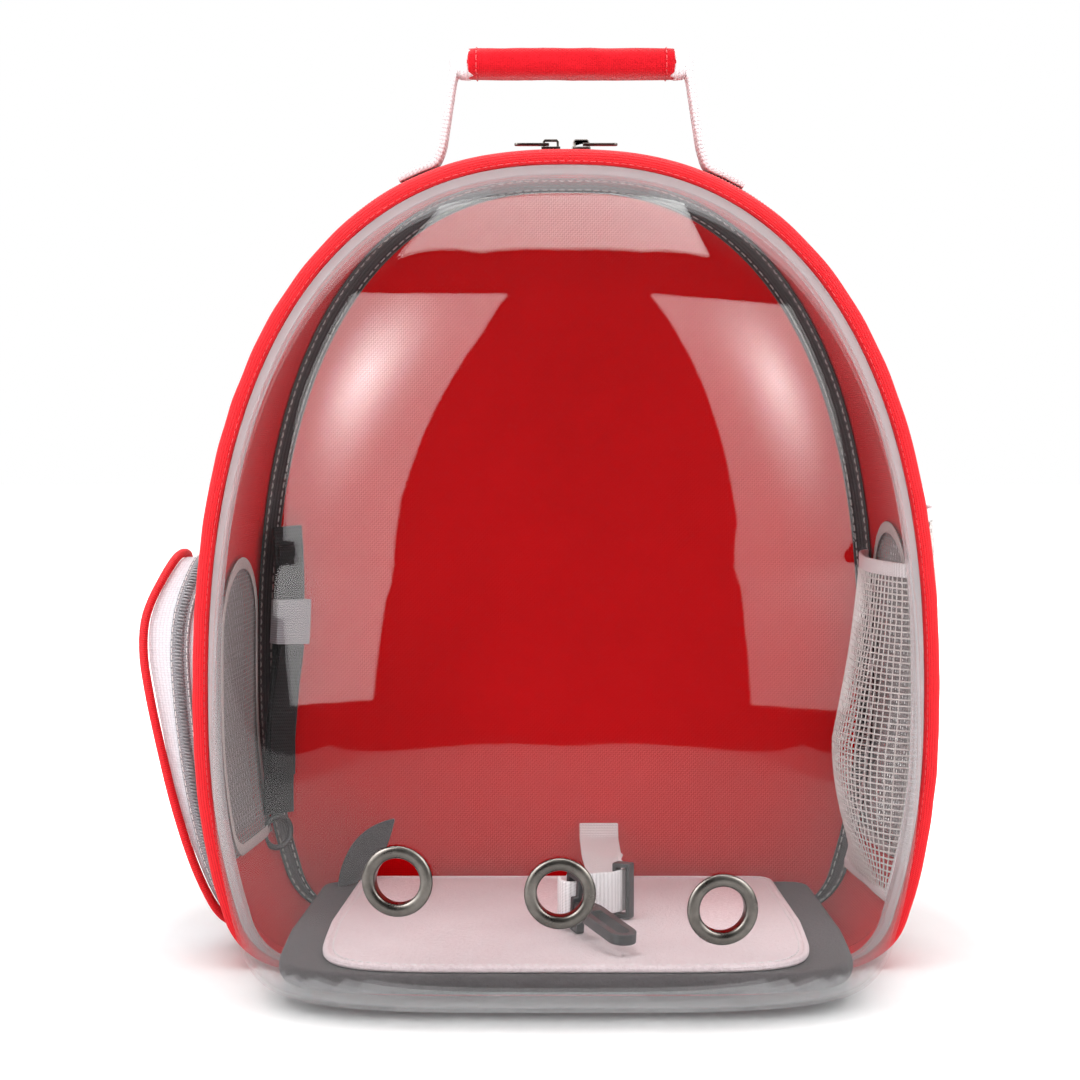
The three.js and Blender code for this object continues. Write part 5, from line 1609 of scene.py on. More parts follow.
@dataclass
class RightNets:
    """The sagging white net inside the right wall, and the open net pocket outside it."""

    form: Form
    pitch: float = 0.0033
    cord: float = 0.00044

    def inner(self, u: Array, v: Array) -> Array:
        """The inner net: it hangs in a belly that is deepest under its middle and lifts towards the hem."""
        front, back, foot, top, sag, belly, lift = 0.024, 0.11, 0.03, 0.189, 0.027, 0.44, 0.42
        form = self.form
        depth, z = front + (back - front) * u, foot + (top - foot) * v
        side = np.sin(math.pi * np.clip(u, 0, 1)) ** 0.6
        rise = np.maximum(v - belly, 0) / (1 - belly)
        fall = np.sin(math.pi * np.minimum(np.clip(v, 0, 1) / belly, 1) * 0.5) * (1 - (1 - lift) * rise)
        inset = 0.0025 + sag * side * fall
        point = form.place(form.wall_x(depth, z, form.cover + form.wall) - inset, depth, z)
        return point + ACROSS * (ripple(point, 0.0009, 0.05, 3) * side)[..., None]

    def outer(self, u: Array, v: Array) -> Array:
        """The outer pocket: flat at its sewn sides and foot, and full towards its mouth."""
        front, back, foot, top, bulge = 0.03, 0.108, 0.018, 0.212, 0.014
        form = self.form
        depth, z = front + (back - front) * u, foot + (top - foot) * v
        side = np.sin(math.pi * np.clip(u, 0, 1)) ** 0.5
        fill = np.sin(math.pi * np.minimum(np.clip(v, 0, 1) / 0.7, 1) * 0.5) ** 0.7
        x = form.wall_x(depth, z, form.cover) + 0.0008 + 0.00075 + bulge * side * fill
        return form.place(x, depth, z)

    def edge(self, surface: Callable[[Array, Array], Array], v: float | None, u: float | None) -> Array:
        """One edge of a net as a line of points."""
        t = np.linspace(0, 1, 60)
        return surface(t if u is None else t * 0 + u, t if v is None else t * 0 + v)

    def build(self) -> None:
        """Make both nets and their sewn edges."""
        net = threads(self.inner, (29, 54), 44, self.cord).wear(
            "net_inner_cords", Colours.WHITE_NET, "white_net", "net_pocket_inner", crease=None
        )
        inner_rims = [
            stand(
                sweep(
                    self.edge(self.inner, v, u), way, box_section(*size, 0.0005)
                ).build(name, finish.made),
                "carrier", "white_net",
            )
            for name, v, u, way, size, finish in (
                ("net_inner_hem", 1.0, None, UP, (0.007, 0.0016), Colours.WHITE_WEBBING),
                ("net_inner_foot", 0.0, None, UP, (0.005, 0.0012), Colours.WHITE_WEBBING),
                ("net_inner_front", None, 0.0, BACK, (0.006, 0.0012), Colours.WHITE_WEBBING),
                ("net_inner_back", None, 1.0, BACK, (0.006, 0.0012), Colours.WHITE_WEBBING),
            )
        ]

        net = threads(self.outer, (27, 62), 40, self.cord).wear(
            "net_outer_cords", Colours.WHITE_NET, "white_net", "net_pocket_outer", crease=None
        )
        line = self.edge(self.outer, 1.0, None) + UP * 0.0033
        line += ACROSS * (0.0005 * np.sin(np.linspace(0, 44, 60)))[:, None]
        hem = sweep(smooth_line(line, 150), UP, box_section(0.006, 0.0022, 0.0009)).wear(
            "net_outer_hem", Colours.WHITE_WEBBING, "white_webbing", "net_pocket_hem"
        )
        for name, v, u, way in (
            ("foot", 0.0, None, UP), ("front", None, 0.0, BACK), ("back", None, 1.0, BACK)
        ):
            rim = sweep(self.edge(self.outer, v, u), way, box_section(0.006, 0.0014, 0.0006)).build(
                f"net_outer_{name}", Colours.PIPING.made
            )
            stand(rim, "carrier", "red_piping")


# White pocket on the left


@dataclass
class SidePocket:
    """The wedge pocket: a face and a gusset of white cloth, red piping, a grey zip and its slider."""

    form: Form
    front: float = 0.028
    back: float = 0.108
    foot: float = 0.013
    top: float = 0.192
    throw: float = 0.032
    wall: float = 0.002
    waist: float = 0.45
    power_top: float = 2.4
    power_foot: float = 4.0
    piping: float = 0.0022
    zip_width: float = 0.009
    zip_thick: float = 0.0016
    heights: tuple[float, ...] = (0, 0.28, 0.5, 0.67, 0.79, 0.9, 1)
    throws: tuple[float, ...] = (0.34, 0.5, 0.67, 0.87, 1, 0.95, 0.66)
    count: int = 132

    def loop(self, grow: float) -> tuple[Array, Array]:
        """The pocket's outline: an ellipse that is squarer below its waist than above it.

        Args:
            grow: How far outside the cloth.

        Returns:
            Depths and heights, from the foot round.
        """
        turn = np.arange(self.count) / self.count * TAU - math.pi / 2
        cos, sin = np.cos(turn), np.sin(turn)
        power = np.where(sin > 0, self.power_top, self.power_foot)
        reach = (np.abs(cos) ** power + np.abs(sin) ** power) ** (-1 / power)
        waist = self.foot + (self.top - self.foot) * self.waist
        half_z = np.where(sin > 0, self.top - waist, waist - self.foot) + grow
        depth = (self.front + self.back) / 2 + ((self.back - self.front) / 2 + grow) * reach * cos
        return depth, waist + half_z * reach * sin

    def stand_off(self, z: Array) -> Array:
        """How far the pocket's face stands off the wall: a table's mean over a short way up and down."""
        share = (z - self.foot) / (self.top - self.foot) + np.linspace(-0.07, 0.07, 9)[:, None]
        return self.throw * np.interp(np.clip(share, 0, 1), self.heights, self.throws).mean(0)

    def ring(self, grow: float, share: float, bulge: float = 0.0) -> Array:
        """The outline at a share of the pocket's throw."""
        depth, z = self.loop(grow)
        reach = self.form.wall_x(depth, z, self.form.cover) + 0.0008 + self.stand_off(z) * share + bulge
        return self.form.place(-reach, depth, z)

    def build(self) -> None:
        """Make the pocket from the wall outwards."""
        half = (self.back - self.front) / 2
        grows = -half * np.array([0.0, 0.08, 0.2, 0.36, 0.55, 0.74, 0.9, 0.97])
        bulges = np.interp(-grows / half, [0, 0.2, 0.55, 1], [0, 0.001, 0.0024, 0.003])
        shares = np.array([0, 0.12, 0.25, 0.38, 0.5, 0.62, 0.75, 0.88, 1])
        outside = (
            [self.ring(0.0, s) for s in shares]
            + [self.ring(g, 1, b) for g, b in zip(grows[1:], bulges[1:])]
        )
        inside = [self.ring(-self.wall, s) for s in shares[:-1]]
        inside += [
            self.ring(g - self.wall * (1 if k == 0 else 0), 1, b - self.wall)
            for k, (g, b) in enumerate(zip(grows, bulges))
        ]
        grid = np.stack(inside[::-1] + outside)
        skin = Skin.grid(grid, cols=True, ends=True).outward()
        skin.points[:, 0] += ripple(skin.points, 0.0006, 0.07, 21) * (skin.points[:, 0] < -0.18)
        skin.wear("side_pocket_cloth", Colours.WHITE_CLOTH, "white_fabric", "side_pocket", crease=60)

        off = (self.piping + self.form.gap) * 0.8
        cord = sweep(self.ring(off, 1, off), -ACROSS, round_section(self.piping, 10), loop=True)
        cord.wear("side_pocket_cord", Colours.PIPING, "red_piping", "side_pocket_piping")

        skip = int(self.count * 3 / 28)
        part = slice(skip, self.count - skip + 1)
        middle = self.ring(self.form.gap + self.zip_thick / 2, 0.5)[part]
        out = unit(self.ring(0.004, 0.5)[part] - self.ring(0.0, 0.5)[part])
        tape = sweep(middle, ACROSS, box_section(self.zip_width, self.zip_thick, 0.0005))
        tape.wear("side_pocket_zip_tape", Colours.ZIP_GREY, "zip_tape", "side_pocket_zip")
        edge = FrontEdge(self.form)
        coil = edge.coil_loops(middle + out * 0.0008, out, ACROSS, 0.0019, 0.0017, 0.0005)
        coil.wear("side_pocket_zip_coil", Colours.COIL_GREY, "zip_tape", crease=None)
        seams: Skin | None = None
        for side in (-1, 1):
            line = middle + out * 0.00085 + ACROSS * side * 0.0037
            seam = stitches(line, out, 0.0034, 0.0024, 0.00024)
            seams = seam if seams is None else seams + seam
        seams.wear("side_pocket_seams", Colours.WHITE_THREAD, "white_fabric")
        slider = refined(
            "side_pocket_slider_cast", "side_pocket_slider", Colours.GUNMETAL.made, 0.0007, 3
        )
        stand(slider, "carrier", "gunmetal", "side_pocket_slider")


# Floor


@dataclass
class FloorLayers:
    """The red board, the dark felt pad and the pale plush mat, one on the other."""

    form: Form
    board_z: float = 0.0079
    board: float = 0.003
    pad: float = 0.009
    mat: float = 0.0027

    @property
    def mat_top(self) -> float:
        """Height of the mat's upper side."""
        return self.board_z + self.board + self.pad + self.mat + 2 * self.form.gap

    def outline(self, border: float, front: float, count: int = 240) -> Array:
        """The floor's plan: rounded back corners, sides that widen forwards, and a superellipse nose.

        Args:
            border: How far inside the body's foot.
            front: How far the nose reaches in front of the flange.
            count: Points wanted.

        Returns:
            Distance across and depth, count by 2.
        """
        form = self.form
        back = form.panel_inner - 0.0012 - 0.007 - border * 0.2
        half_front = form.half_width - form.foot_inset + 0.004 - border
        half_back, corner = half_front - 0.006, 0.01
        t = np.linspace(0, 1, 9)[:, None]
        a, b, c = (
            np.array(p)
            for p in ((half_back, back - corner), (half_back, back), (half_back - corner, back))
        )
        right = (1 - t) ** 2 * a + 2 * t * (1 - t) * b + t**2 * c
        turn = np.linspace(0, math.pi, 90)
        cos, sin = np.cos(turn), np.maximum(np.sin(turn), 0)
        reach = (np.abs(cos) ** 6 + sin**6) ** (-1 / 6)
        nose = np.stack([-half_front * reach * cos, -front * reach * sin], -1)
        return evenly(np.concatenate([right, right[::-1] * [-1, 1], nose]), count, loop=True)

    def layer(self, name: str, border: float, front: float, low: float, high: float, edge: float,
              finish: Colours, uneven: float) -> Piece:
        """One layer: a rounded edge, then rings drawn in over its top, eased by a slow unevenness.

        Args:
            name: The piece's name.
            border: How far inside the body's foot.
            front: How far the nose reaches in front of the flange.
            low: Height of its underside.
            high: Height of its upper side.
            edge: How far in the rounding of its edge reaches.
            finish: What it wears.
            uneven: The greatest rise or fall of its top.

        Returns:
            The piece.
        """
        turn = np.linspace(-math.pi / 2, math.pi / 2, 9)
        ins = np.concatenate(
            [
                edge * (1 - np.cos(turn)),
                edge + np.array([0.003, 0.008, 0.016, 0.026, 0.038, 0.052, 0.066, 0.078])
            ]
        )
        z = np.concatenate([(low + high) / 2 + (high - low) / 2 * np.sin(turn), np.full(8, high)])
        rings = [self.outline(border + d, front - d) for d in ins]
        grid = np.stack([self.form.place(r[:, 0], r[:, 1], h) for r, h in zip(rings, z)])
        skin = Skin.grid(grid, cols=True, ends=True).outward()
        top = np.clip((skin.points[:, 2] - (low + high) / 2) / (high - low) * 2, 0, 1)
        skin.points[:, 2] -= np.abs(ripple(skin.points, uneven, 0.09, 5)) * top
        return skin.build(name, finish.made, 60)

    def build(self) -> None:
        """Make the layers from below."""
        gap = self.form.gap
        pad_low = self.board_z + self.board + gap
        mat_low = pad_low + self.pad + gap
        board = self.layer(
            "floor_board_covered", 0.016, 0.085, self.board_z, self.board_z + self.board, 0.0012,
            Colours.RED_BOARD, 0.0
        )
        stand(board, "carrier", "red_fabric", "floor_board")
        pad = self.layer(
            "floor_pad_felt", 0.001, 0.098, pad_low, pad_low + self.pad, 0.003, Colours.GREY_FELT, 0.0
        )
        stand(pad, "carrier", "grey_fabric", "floor_pad")
        mat = self.layer("mat_plush", 0.021, 0.094, mat_low, self.mat_top, 0.0014, Colours.MAT, 0.0005)
        stand(mat, "carrier", "mat_plush", "mat")
        rim = self.outline(0.0225, 0.0925, 300)
        line = self.form.place(rim[:, 0], rim[:, 1], self.mat_top - 0.0009)
        hem = sweep(
            line, UP, round_section(0.0016, 8), loop=True
        ).wear("mat_hem", Colours.MAT, "mat_plush")
        inner = self.outline(0.0255, 0.0895, 300)
        seam_at = self.form.place(inner[:, 0], inner[:, 1], self.mat_top - 0.0002)
        seam = stitches(seam_at, UP, 0.0042, 0.003, 0.0003, loop=True).wear(
            "mat_seam", Colours.WHITE_THREAD, "mat_plush"
        )


# Carrying handle


@dataclass
class Handle:
    """White webbing sewn to the roof, and the red sleeve round its middle."""

    form: Form
    x: float = 0.0026
    depth: float = 0.045
    top: float = 0.44
    grip_long: float = 0.1
    grip_thick: float = 0.015
    grip_wide: float = 0.031
    spread_top: float = 0.057
    spread_foot: float = 0.063
    foot: float = 0.02
    wide: float = 0.025
    thick: float = 0.0032

    def path(self) -> Array:
        """The webbing's line: along the roof, up a leg, through the sleeve and down again."""
        form, lift = self.form, self.thick / 2 + 0.0008
        level = self.top - self.grip_thick / 2
        half = [
            self.x + d
            for d in (
                -self.spread_foot - self.foot, -self.spread_foot - self.foot / 2,
                -self.spread_foot - 0.002
            )
        ]

        def side(sign: int) -> Array:
            """One side's points, from the roof up."""
            xs = np.array([self.x + sign * (self.x - h) for h in half])
            feet = np.stack([xs, form.roof_z(self.depth, xs, form.cover) + lift], -1)
            root = form.roof_z(self.depth, self.spread_foot, 0.0)
            rise = np.array([
                (self.x + sign * (self.spread_foot - 0.001), root + 0.009),
                (self.x + sign * self.spread_top, level - 0.007),
                (self.x + sign * (self.spread_top - 0.002), level - 0.0015),
                (self.x + sign * (self.spread_top - 0.007), level),
            ])
            return np.concatenate([feet, rise])

        flat = np.concatenate([side(-1), side(1)[::-1]])
        return eased(form.place(flat[:, 0], self.depth, flat[:, 1]), 260, 10)

    def sleeve(self) -> Skin:
        """The sleeve: squarish rings, fuller between its ends, turned in at both ends round the webbing."""
        share = np.concatenate([[-0.5], np.linspace(-0.492, 0.492, 40), [0.5], [0.5, -0.5]])
        full = np.concatenate([[0.86], np.full(40, 1.0), [0.86], [0, 0]])
        end = np.clip((0.5 - np.abs(share)) / 0.03, 0, 1)
        swell = 1 + 0.03 * np.cos(math.pi * share) - 0.05 * (1 - end) ** 2
        wide = np.where(full > 0, self.grip_wide * full * swell / 1.03, self.wide + 0.0024)
        high = np.where(full > 0, self.grip_thick * full * swell / 1.03, self.thick + 0.0016)
        turn = (np.arange(56) + 0.5) / 56 * TAU
        reach = (np.abs(np.cos(turn)) ** 3 + np.abs(np.sin(turn)) ** 3) ** (-1 / 3)
        level = self.top - self.grip_thick / 2
        y = wide[:, None] / 2 * reach * np.cos(turn)
        z = high[:, None] / 2 * reach * np.sin(turn)
        grid = self.form.place(self.x + share[:, None] * self.grip_long, self.depth + y, level + z)
        grid[1:41] += (
            unit(grid[1:41] - grid[1:41].mean(1, keepdims=True))
            * -np.abs(ripple(grid[1:41], 0.0006, 0.02, 9))[..., None]
        )
        return Skin.grid(grid, rows=True, cols=True).outward()

    def build(self) -> None:
        """Make the webbing, its sewn feet and the sleeve."""
        form = self.form
        path = self.path()
        sweep(path, BACK, box_section(self.wide, self.thick, 0.0009, 4)).wear(
            "handle_webbing", Colours.WHITE_WEBBING, "white_webbing", "carry_webbing"
        )
        folds: Skin | None = None
        for sign in (-1, 1):
            share = np.array([-0.004, 0.0, 0.0035, 0.0065, 0.0085])
            size = np.array([0.9, 1.0, 0.96, 0.8, 0.5])[:, None, None]
            line = form.place(
                self.x + sign * (self.grip_long / 2 + share), self.depth,
                self.top - self.grip_thick / 2 - 0.0004
            )
            fold = sweep(line, BACK, box_section(self.wide + 0.002, 0.0132, 0.004, 6)[None] * size)
            folds = fold if folds is None else folds + fold
        folds.wear("handle_folds", Colours.WHITE_WEBBING, "white_webbing")
        sewn: Skin | None = None
        for sign in (-1, 1):
            near, far = (self.x + sign * (self.spread_foot + d) for d in (0.004, 0.0185))
            corner = [
                (near, -1), (far, -1), (far, 1), (near, 1), (near, -1), (far, 1), (near, 1), (far, -1)
            ]
            flat = evenly(np.array([(a, b * 0.0095) for a, b in corner]), 200)
            roof = self.form.roof_z(self.depth, flat[:, 0], self.form.cover) + 0.0008 + self.thick
            line = self.form.place(flat[:, 0], self.depth + flat[:, 1], roof)
            seam = stitches(line, UP, 0.0032, 0.0024, 0.0003)
            sewn = seam if sewn is None else sewn + seam
        sewn.wear("handle_feet_seams", Colours.GREY_THREAD, "white_webbing")
        sleeve = self.sleeve().wear(
            "handle_sleeve", Colours.RED_GRIP, "red_fabric", "carry_grip", crease=60
        )
        turn = np.linspace(0, TAU, 90, endpoint=False)
        reach = (np.abs(np.cos(turn)) ** 3 + np.abs(np.sin(turn)) ** 3) ** (-1 / 3)
        rings: Skin | None = None
        for share in (-0.455, 0.455):
            y, z = self.grip_wide / 2 * reach * np.cos(turn), self.grip_thick / 2 * reach * np.sin(turn)
            line = self.form.place(
                self.x + share * self.grip_long, self.depth + y * 0.985,
                self.top - self.grip_thick / 2 + z * 0.985
            )
            seam = stitches(line, unit(line - line.mean(0)), 0.0034, 0.0024, 0.00028, loop=True)
            rings = seam if rings is None else rings + seam
        rings.wear("handle_sleeve_seams", Colours.RED_THREAD, "red_fabric")


# Black strap in the left back corner


@dataclass
class CornerStrap:
    """The black strap bundle with its keeper and ring, and the grey felt leaf on the floor."""

    form: Form
    setback: float = 0.016
    top: float = 0.205
    foot: float = 0.058
    wide: float = 0.018
    thick: float = 0.0024
    ring: float = 0.008
    wire: float = 0.0015

    def line_x(self, depth: float, z: Array) -> Array:
        """How far out the strap hangs: a fixed way inside the wall, or less where the corner is round."""
        form, inset = self.form, self.form.cover + self.form.wall
        return np.minimum(
            form.wall_x(depth, form.widest, inset) - self.setback,
            form.wall_x(depth, z, inset) - self.wide * 0.55
        )

    def build(self) -> None:
        """Make the strap from its sewn top down to the ring, and the leaf."""
        form = self.form
        depth = form.panel_inner - 0.014
        share = np.linspace(1 / 8, 1, 60)
        z = self.top + (self.foot - self.top) * (share * 8 - 1) / 7
        lean = 0.003 * np.sin(share * 5)
        path = form.place(lean - self.line_x(depth, z), depth - 0.006 * share, z)
        across = np.array([0.75, 0.66, 0])
        strap = sweep(path, across, box_section(self.wide, self.thick, 0.0009, 4))
        facing = np.array([0.66, -0.75, 0])
        wave = 0.0012 * np.sin(share * 16)[:, None] * facing
        fold = sweep(
            path[4:52] + wave[4:52] + facing * 0.0021, across,
            box_section(self.wide * 0.86, 0.0015, 0.0006, 3)
        )
        (strap + fold).wear("corner_strap_webbing", Colours.BLACK_WEBBING, "black_webbing", "inner_strap")
        keeper = sweep(
            path[15:25] + facing * 0.0016, across,
            box_section(self.wide + 0.003, 0.0068, 0.001, 3)
        )
        keeper.wear("corner_strap_keeper", Colours.ZIP_GREY, "grey_fabric")

        ring_depth = form.panel_inner - 0.020
        x = 0.003 * math.sin(5) - float(self.line_x(ring_depth, np.array(self.foot)))
        centre = form.place(x, ring_depth, self.foot - self.ring - self.wire - form.gap)
        turn = math.radians(41)
        profile = round_section(self.wire, 14) + [self.ring, 0]
        ring = revolve(profile, centre, np.array([math.sin(turn), -math.cos(turn), 0]), 44)
        ring.wear("corner_ring_moulded", Colours.BLACK_PLASTIC, "black_plastic", "inner_ring")
        self.leaf()

    def leaf(self) -> None:
        """The felt leaf: two bowed edges that meet at both ends, bent a little along its length."""
        form, wide, high = self.form, 0.022, 0.046
        t = np.linspace(0.012, 0.988, 30)[:, None]
        s = np.linspace(0, 1, 9)[None]
        bow = 2 * t * (1 - t)
        x = bow * wide * 0.75 * (2 * s - 1)
        y = bow * high * (0.55 + (0.35 - 0.55) * s) + t**2 * high
        out = 0.0022 + 0.0012 * np.sin(math.pi * t) * (1 - (2 * s - 1) ** 2)
        turn = math.radians(40)
        sides = []
        for z in (0 * out, out):
            local = np.stack(
                [
                    x * math.cos(turn) + y * math.sin(turn), -z + 0 * x,
                    y * math.cos(turn) - x * math.sin(turn)
                ],
                -1
            )
            sides.append(
                local
                + form.place(
                    -(form.half_width - form.foot_inset - 0.012), form.panel_inner - 0.022, 0.0205
                )
            )
        ring = np.concatenate([sides[0], sides[1][:, ::-1]], 1)
        Skin.grid(ring, cols=True, ends=True).outward().wear(
            "corner_leaf_felt", Colours.GREY_FELT, "grey_fabric", "corner_flap"
        )


# Safety leash


@dataclass
class Leash:
    """White leash webbing with its slide bar, the eye, and the hook that turns in it."""

    form: Form
    x: float = 0.017
    z: float = 0.047
    wide: float = 0.02
    thick: float = 0.002
    bar_x: float = 0.0274
    bar_depth: float = 0.007
    eye_x: float = 0.006
    eye_depth: float = -0.026
    axis_z: float = 0.0369
    turn: float = math.radians(-65.8)

    def beside_eye(self, along: float, across: float) -> tuple[float, float]:
        """A point beside the eye, given along and across the leash's axis there."""
        cos, sin = math.cos(self.turn), math.sin(self.turn)
        return self.eye_x + along * cos - across * sin, self.eye_depth + along * sin + across * cos

    def build(self) -> None:
        """Make the webbing along its stations, then its three fittings."""
        form = self.form
        panel = form.panel_inner - self.thick
        flat, tilt, stood = (1, 0, 0), (0.62, 0, 0.78), (0, 0, 1)
        sewn = [
            (self.x, panel - 0.001, self.z + 0.002, *flat), (self.x, panel - 0.01, self.z - 0.004, *flat),
            (self.x + 0.001, panel - 0.034, self.z - 0.008, *flat),
            (self.x + 0.004, panel - 0.064, self.z - 0.01, *tilt),
            (self.x + 0.009, panel - 0.088, self.axis_z + 0.001, *stood),
        ]
        mm = 0.001
        lap = [
            (self.bar_x + 2.2 * mm, self.bar_depth + 9 * mm), (self.bar_x, self.bar_depth),
            (self.bar_x - 6 * mm, self.bar_depth - 6.5 * mm),
            (self.bar_x - 17 * mm, self.bar_depth - 9 * mm), (0.5 * mm, -4 * mm),
        ]
        lap += [
            self.beside_eye(a * mm, b * mm)
            for a, b in (
                (-17, 3), (-12, 3.8), (-8, 3.7), (-5.6, 2.6), (-5, 0), (-5.6, -2.6), (-8, -3.7),
                (-12, -3.8), (-17, -2), (-20, -1)
            )
        ]
        stations = np.array(sewn + [(x, depth, self.axis_z, *stood) for x, depth in lap])
        line = eased(stations, 240, 5)
        path = form.place(line[:, 0], line[:, 1], line[:, 2])
        webbing = sweep(path, unit(line[:, 3:]), box_section(self.wide, self.thick, 0.0008, 4))
        webbing.wear("leash_webbing", Colours.WHITE_WEBBING, "white_webbing", "tether_strap")
        patch = evenly(
            np.array(
                [(-1, 0.0), (1, 0.0), (1, -1.0), (-1, -1.0), (-1, 0.0)]
            ) * [0.0075, 0.006] + [self.x, 0],
            80
        )
        at = form.place(patch[:, 0], panel - 0.004 + patch[:, 1], self.z - 0.0006 + patch[:, 1] * 0.5)
        stitches(at, UP, 0.003, 0.0022, 0.0003, loop=True).wear(
            "leash_seam", Colours.GREY_THREAD, "white_webbing"
        )
        bar = refined("leash_bar_moulded", "tether_bar", Colours.BLACK_PLASTIC.made, 0.0007, 3)
        stand(bar, "carrier", "black_plastic", "tether_bar")
        eye = refined("leash_eye_moulded", "tether_eye", Colours.BLACK_PLASTIC.made, 0.0006, 3)
        stand(eye, "carrier", "black_plastic", "tether_eye")
        hook = refined("leash_hook_moulded", "snap_hook", Colours.BLACK_PLASTIC.made, 0.0011, 3)
        stand(hook, "hook", "black_plastic", "snap_hook")


# Shoulder straps


@dataclass
class ShoulderStraps:
    """Two padded straps down the back, with a lock and a webbing tail each."""

    form: Form
    wide: float = 0.06
    thick: float = 0.011
    outer: float = 0.1305

    def build(self) -> None:
        """Make both sides."""
        for side, sign in (("left", -1), ("right", 1)):
            share = np.linspace(0, 1, 60)
            rear = self.outer + self.thick / 2 - 0.0005
            bow = 0.034 * np.sin(math.pi * share * 0.86) ** 0.8
            x = 0.042 + 0.036 * share**1.5
            path = self.form.place(sign * x, rear + bow, 0.325 - 0.207 * share)
            section = box_section(self.wide - 0.004, self.thick - 0.0045, 0.003, 5)
            pad = sweep(path, ACROSS, section).build(f"shoulder_strap_{side}_pad", Colours.RED_STRAP.made)
            puff(pad, 0.005, 0.0022, 4.0)
            stand(pad, "carrier", "red_fabric", f"shoulder_strap_{side}")
            edges: Skin | None = None
            for edge in (-1, 1):
                rim = sweep(
                    path + ACROSS * edge * (self.wide / 2 - 0.0022), ACROSS, round_section(0.0021, 8)
                )
                edges = rim if edges is None else edges + rim
            edges.wear(f"shoulder_strap_{side}_piping", Colours.PIPING, "red_piping")

            step = unit(path[-1] - path[-2 - 5])
            start = path[-1] + step * 0.0246
            end = self.form.place(sign * 0.1, self.outer + 0.0005, 0.026)
            t = np.linspace(0, 1, 60)[:, None]
            line = start + (end - start) * t + BACK * 0.003 * np.sin(math.pi * t)
            tail = sweep(line, ACROSS, box_section(0.025, 0.0024, 0.0009, 4))
            tail.wear(
                f"strap_tail_{side}", Colours.BLACK_WEBBING, "black_webbing", f"strap_webbing_{side}"
            )
            lock = refined(
                f"strap_lock_{side}_moulded", f"strap_lock_{side}", Colours.BLACK_PLASTIC.made, 0.0008, 3
            )
            stand(lock, "carrier", "black_plastic", f"strap_lock_{side}")


# Studio


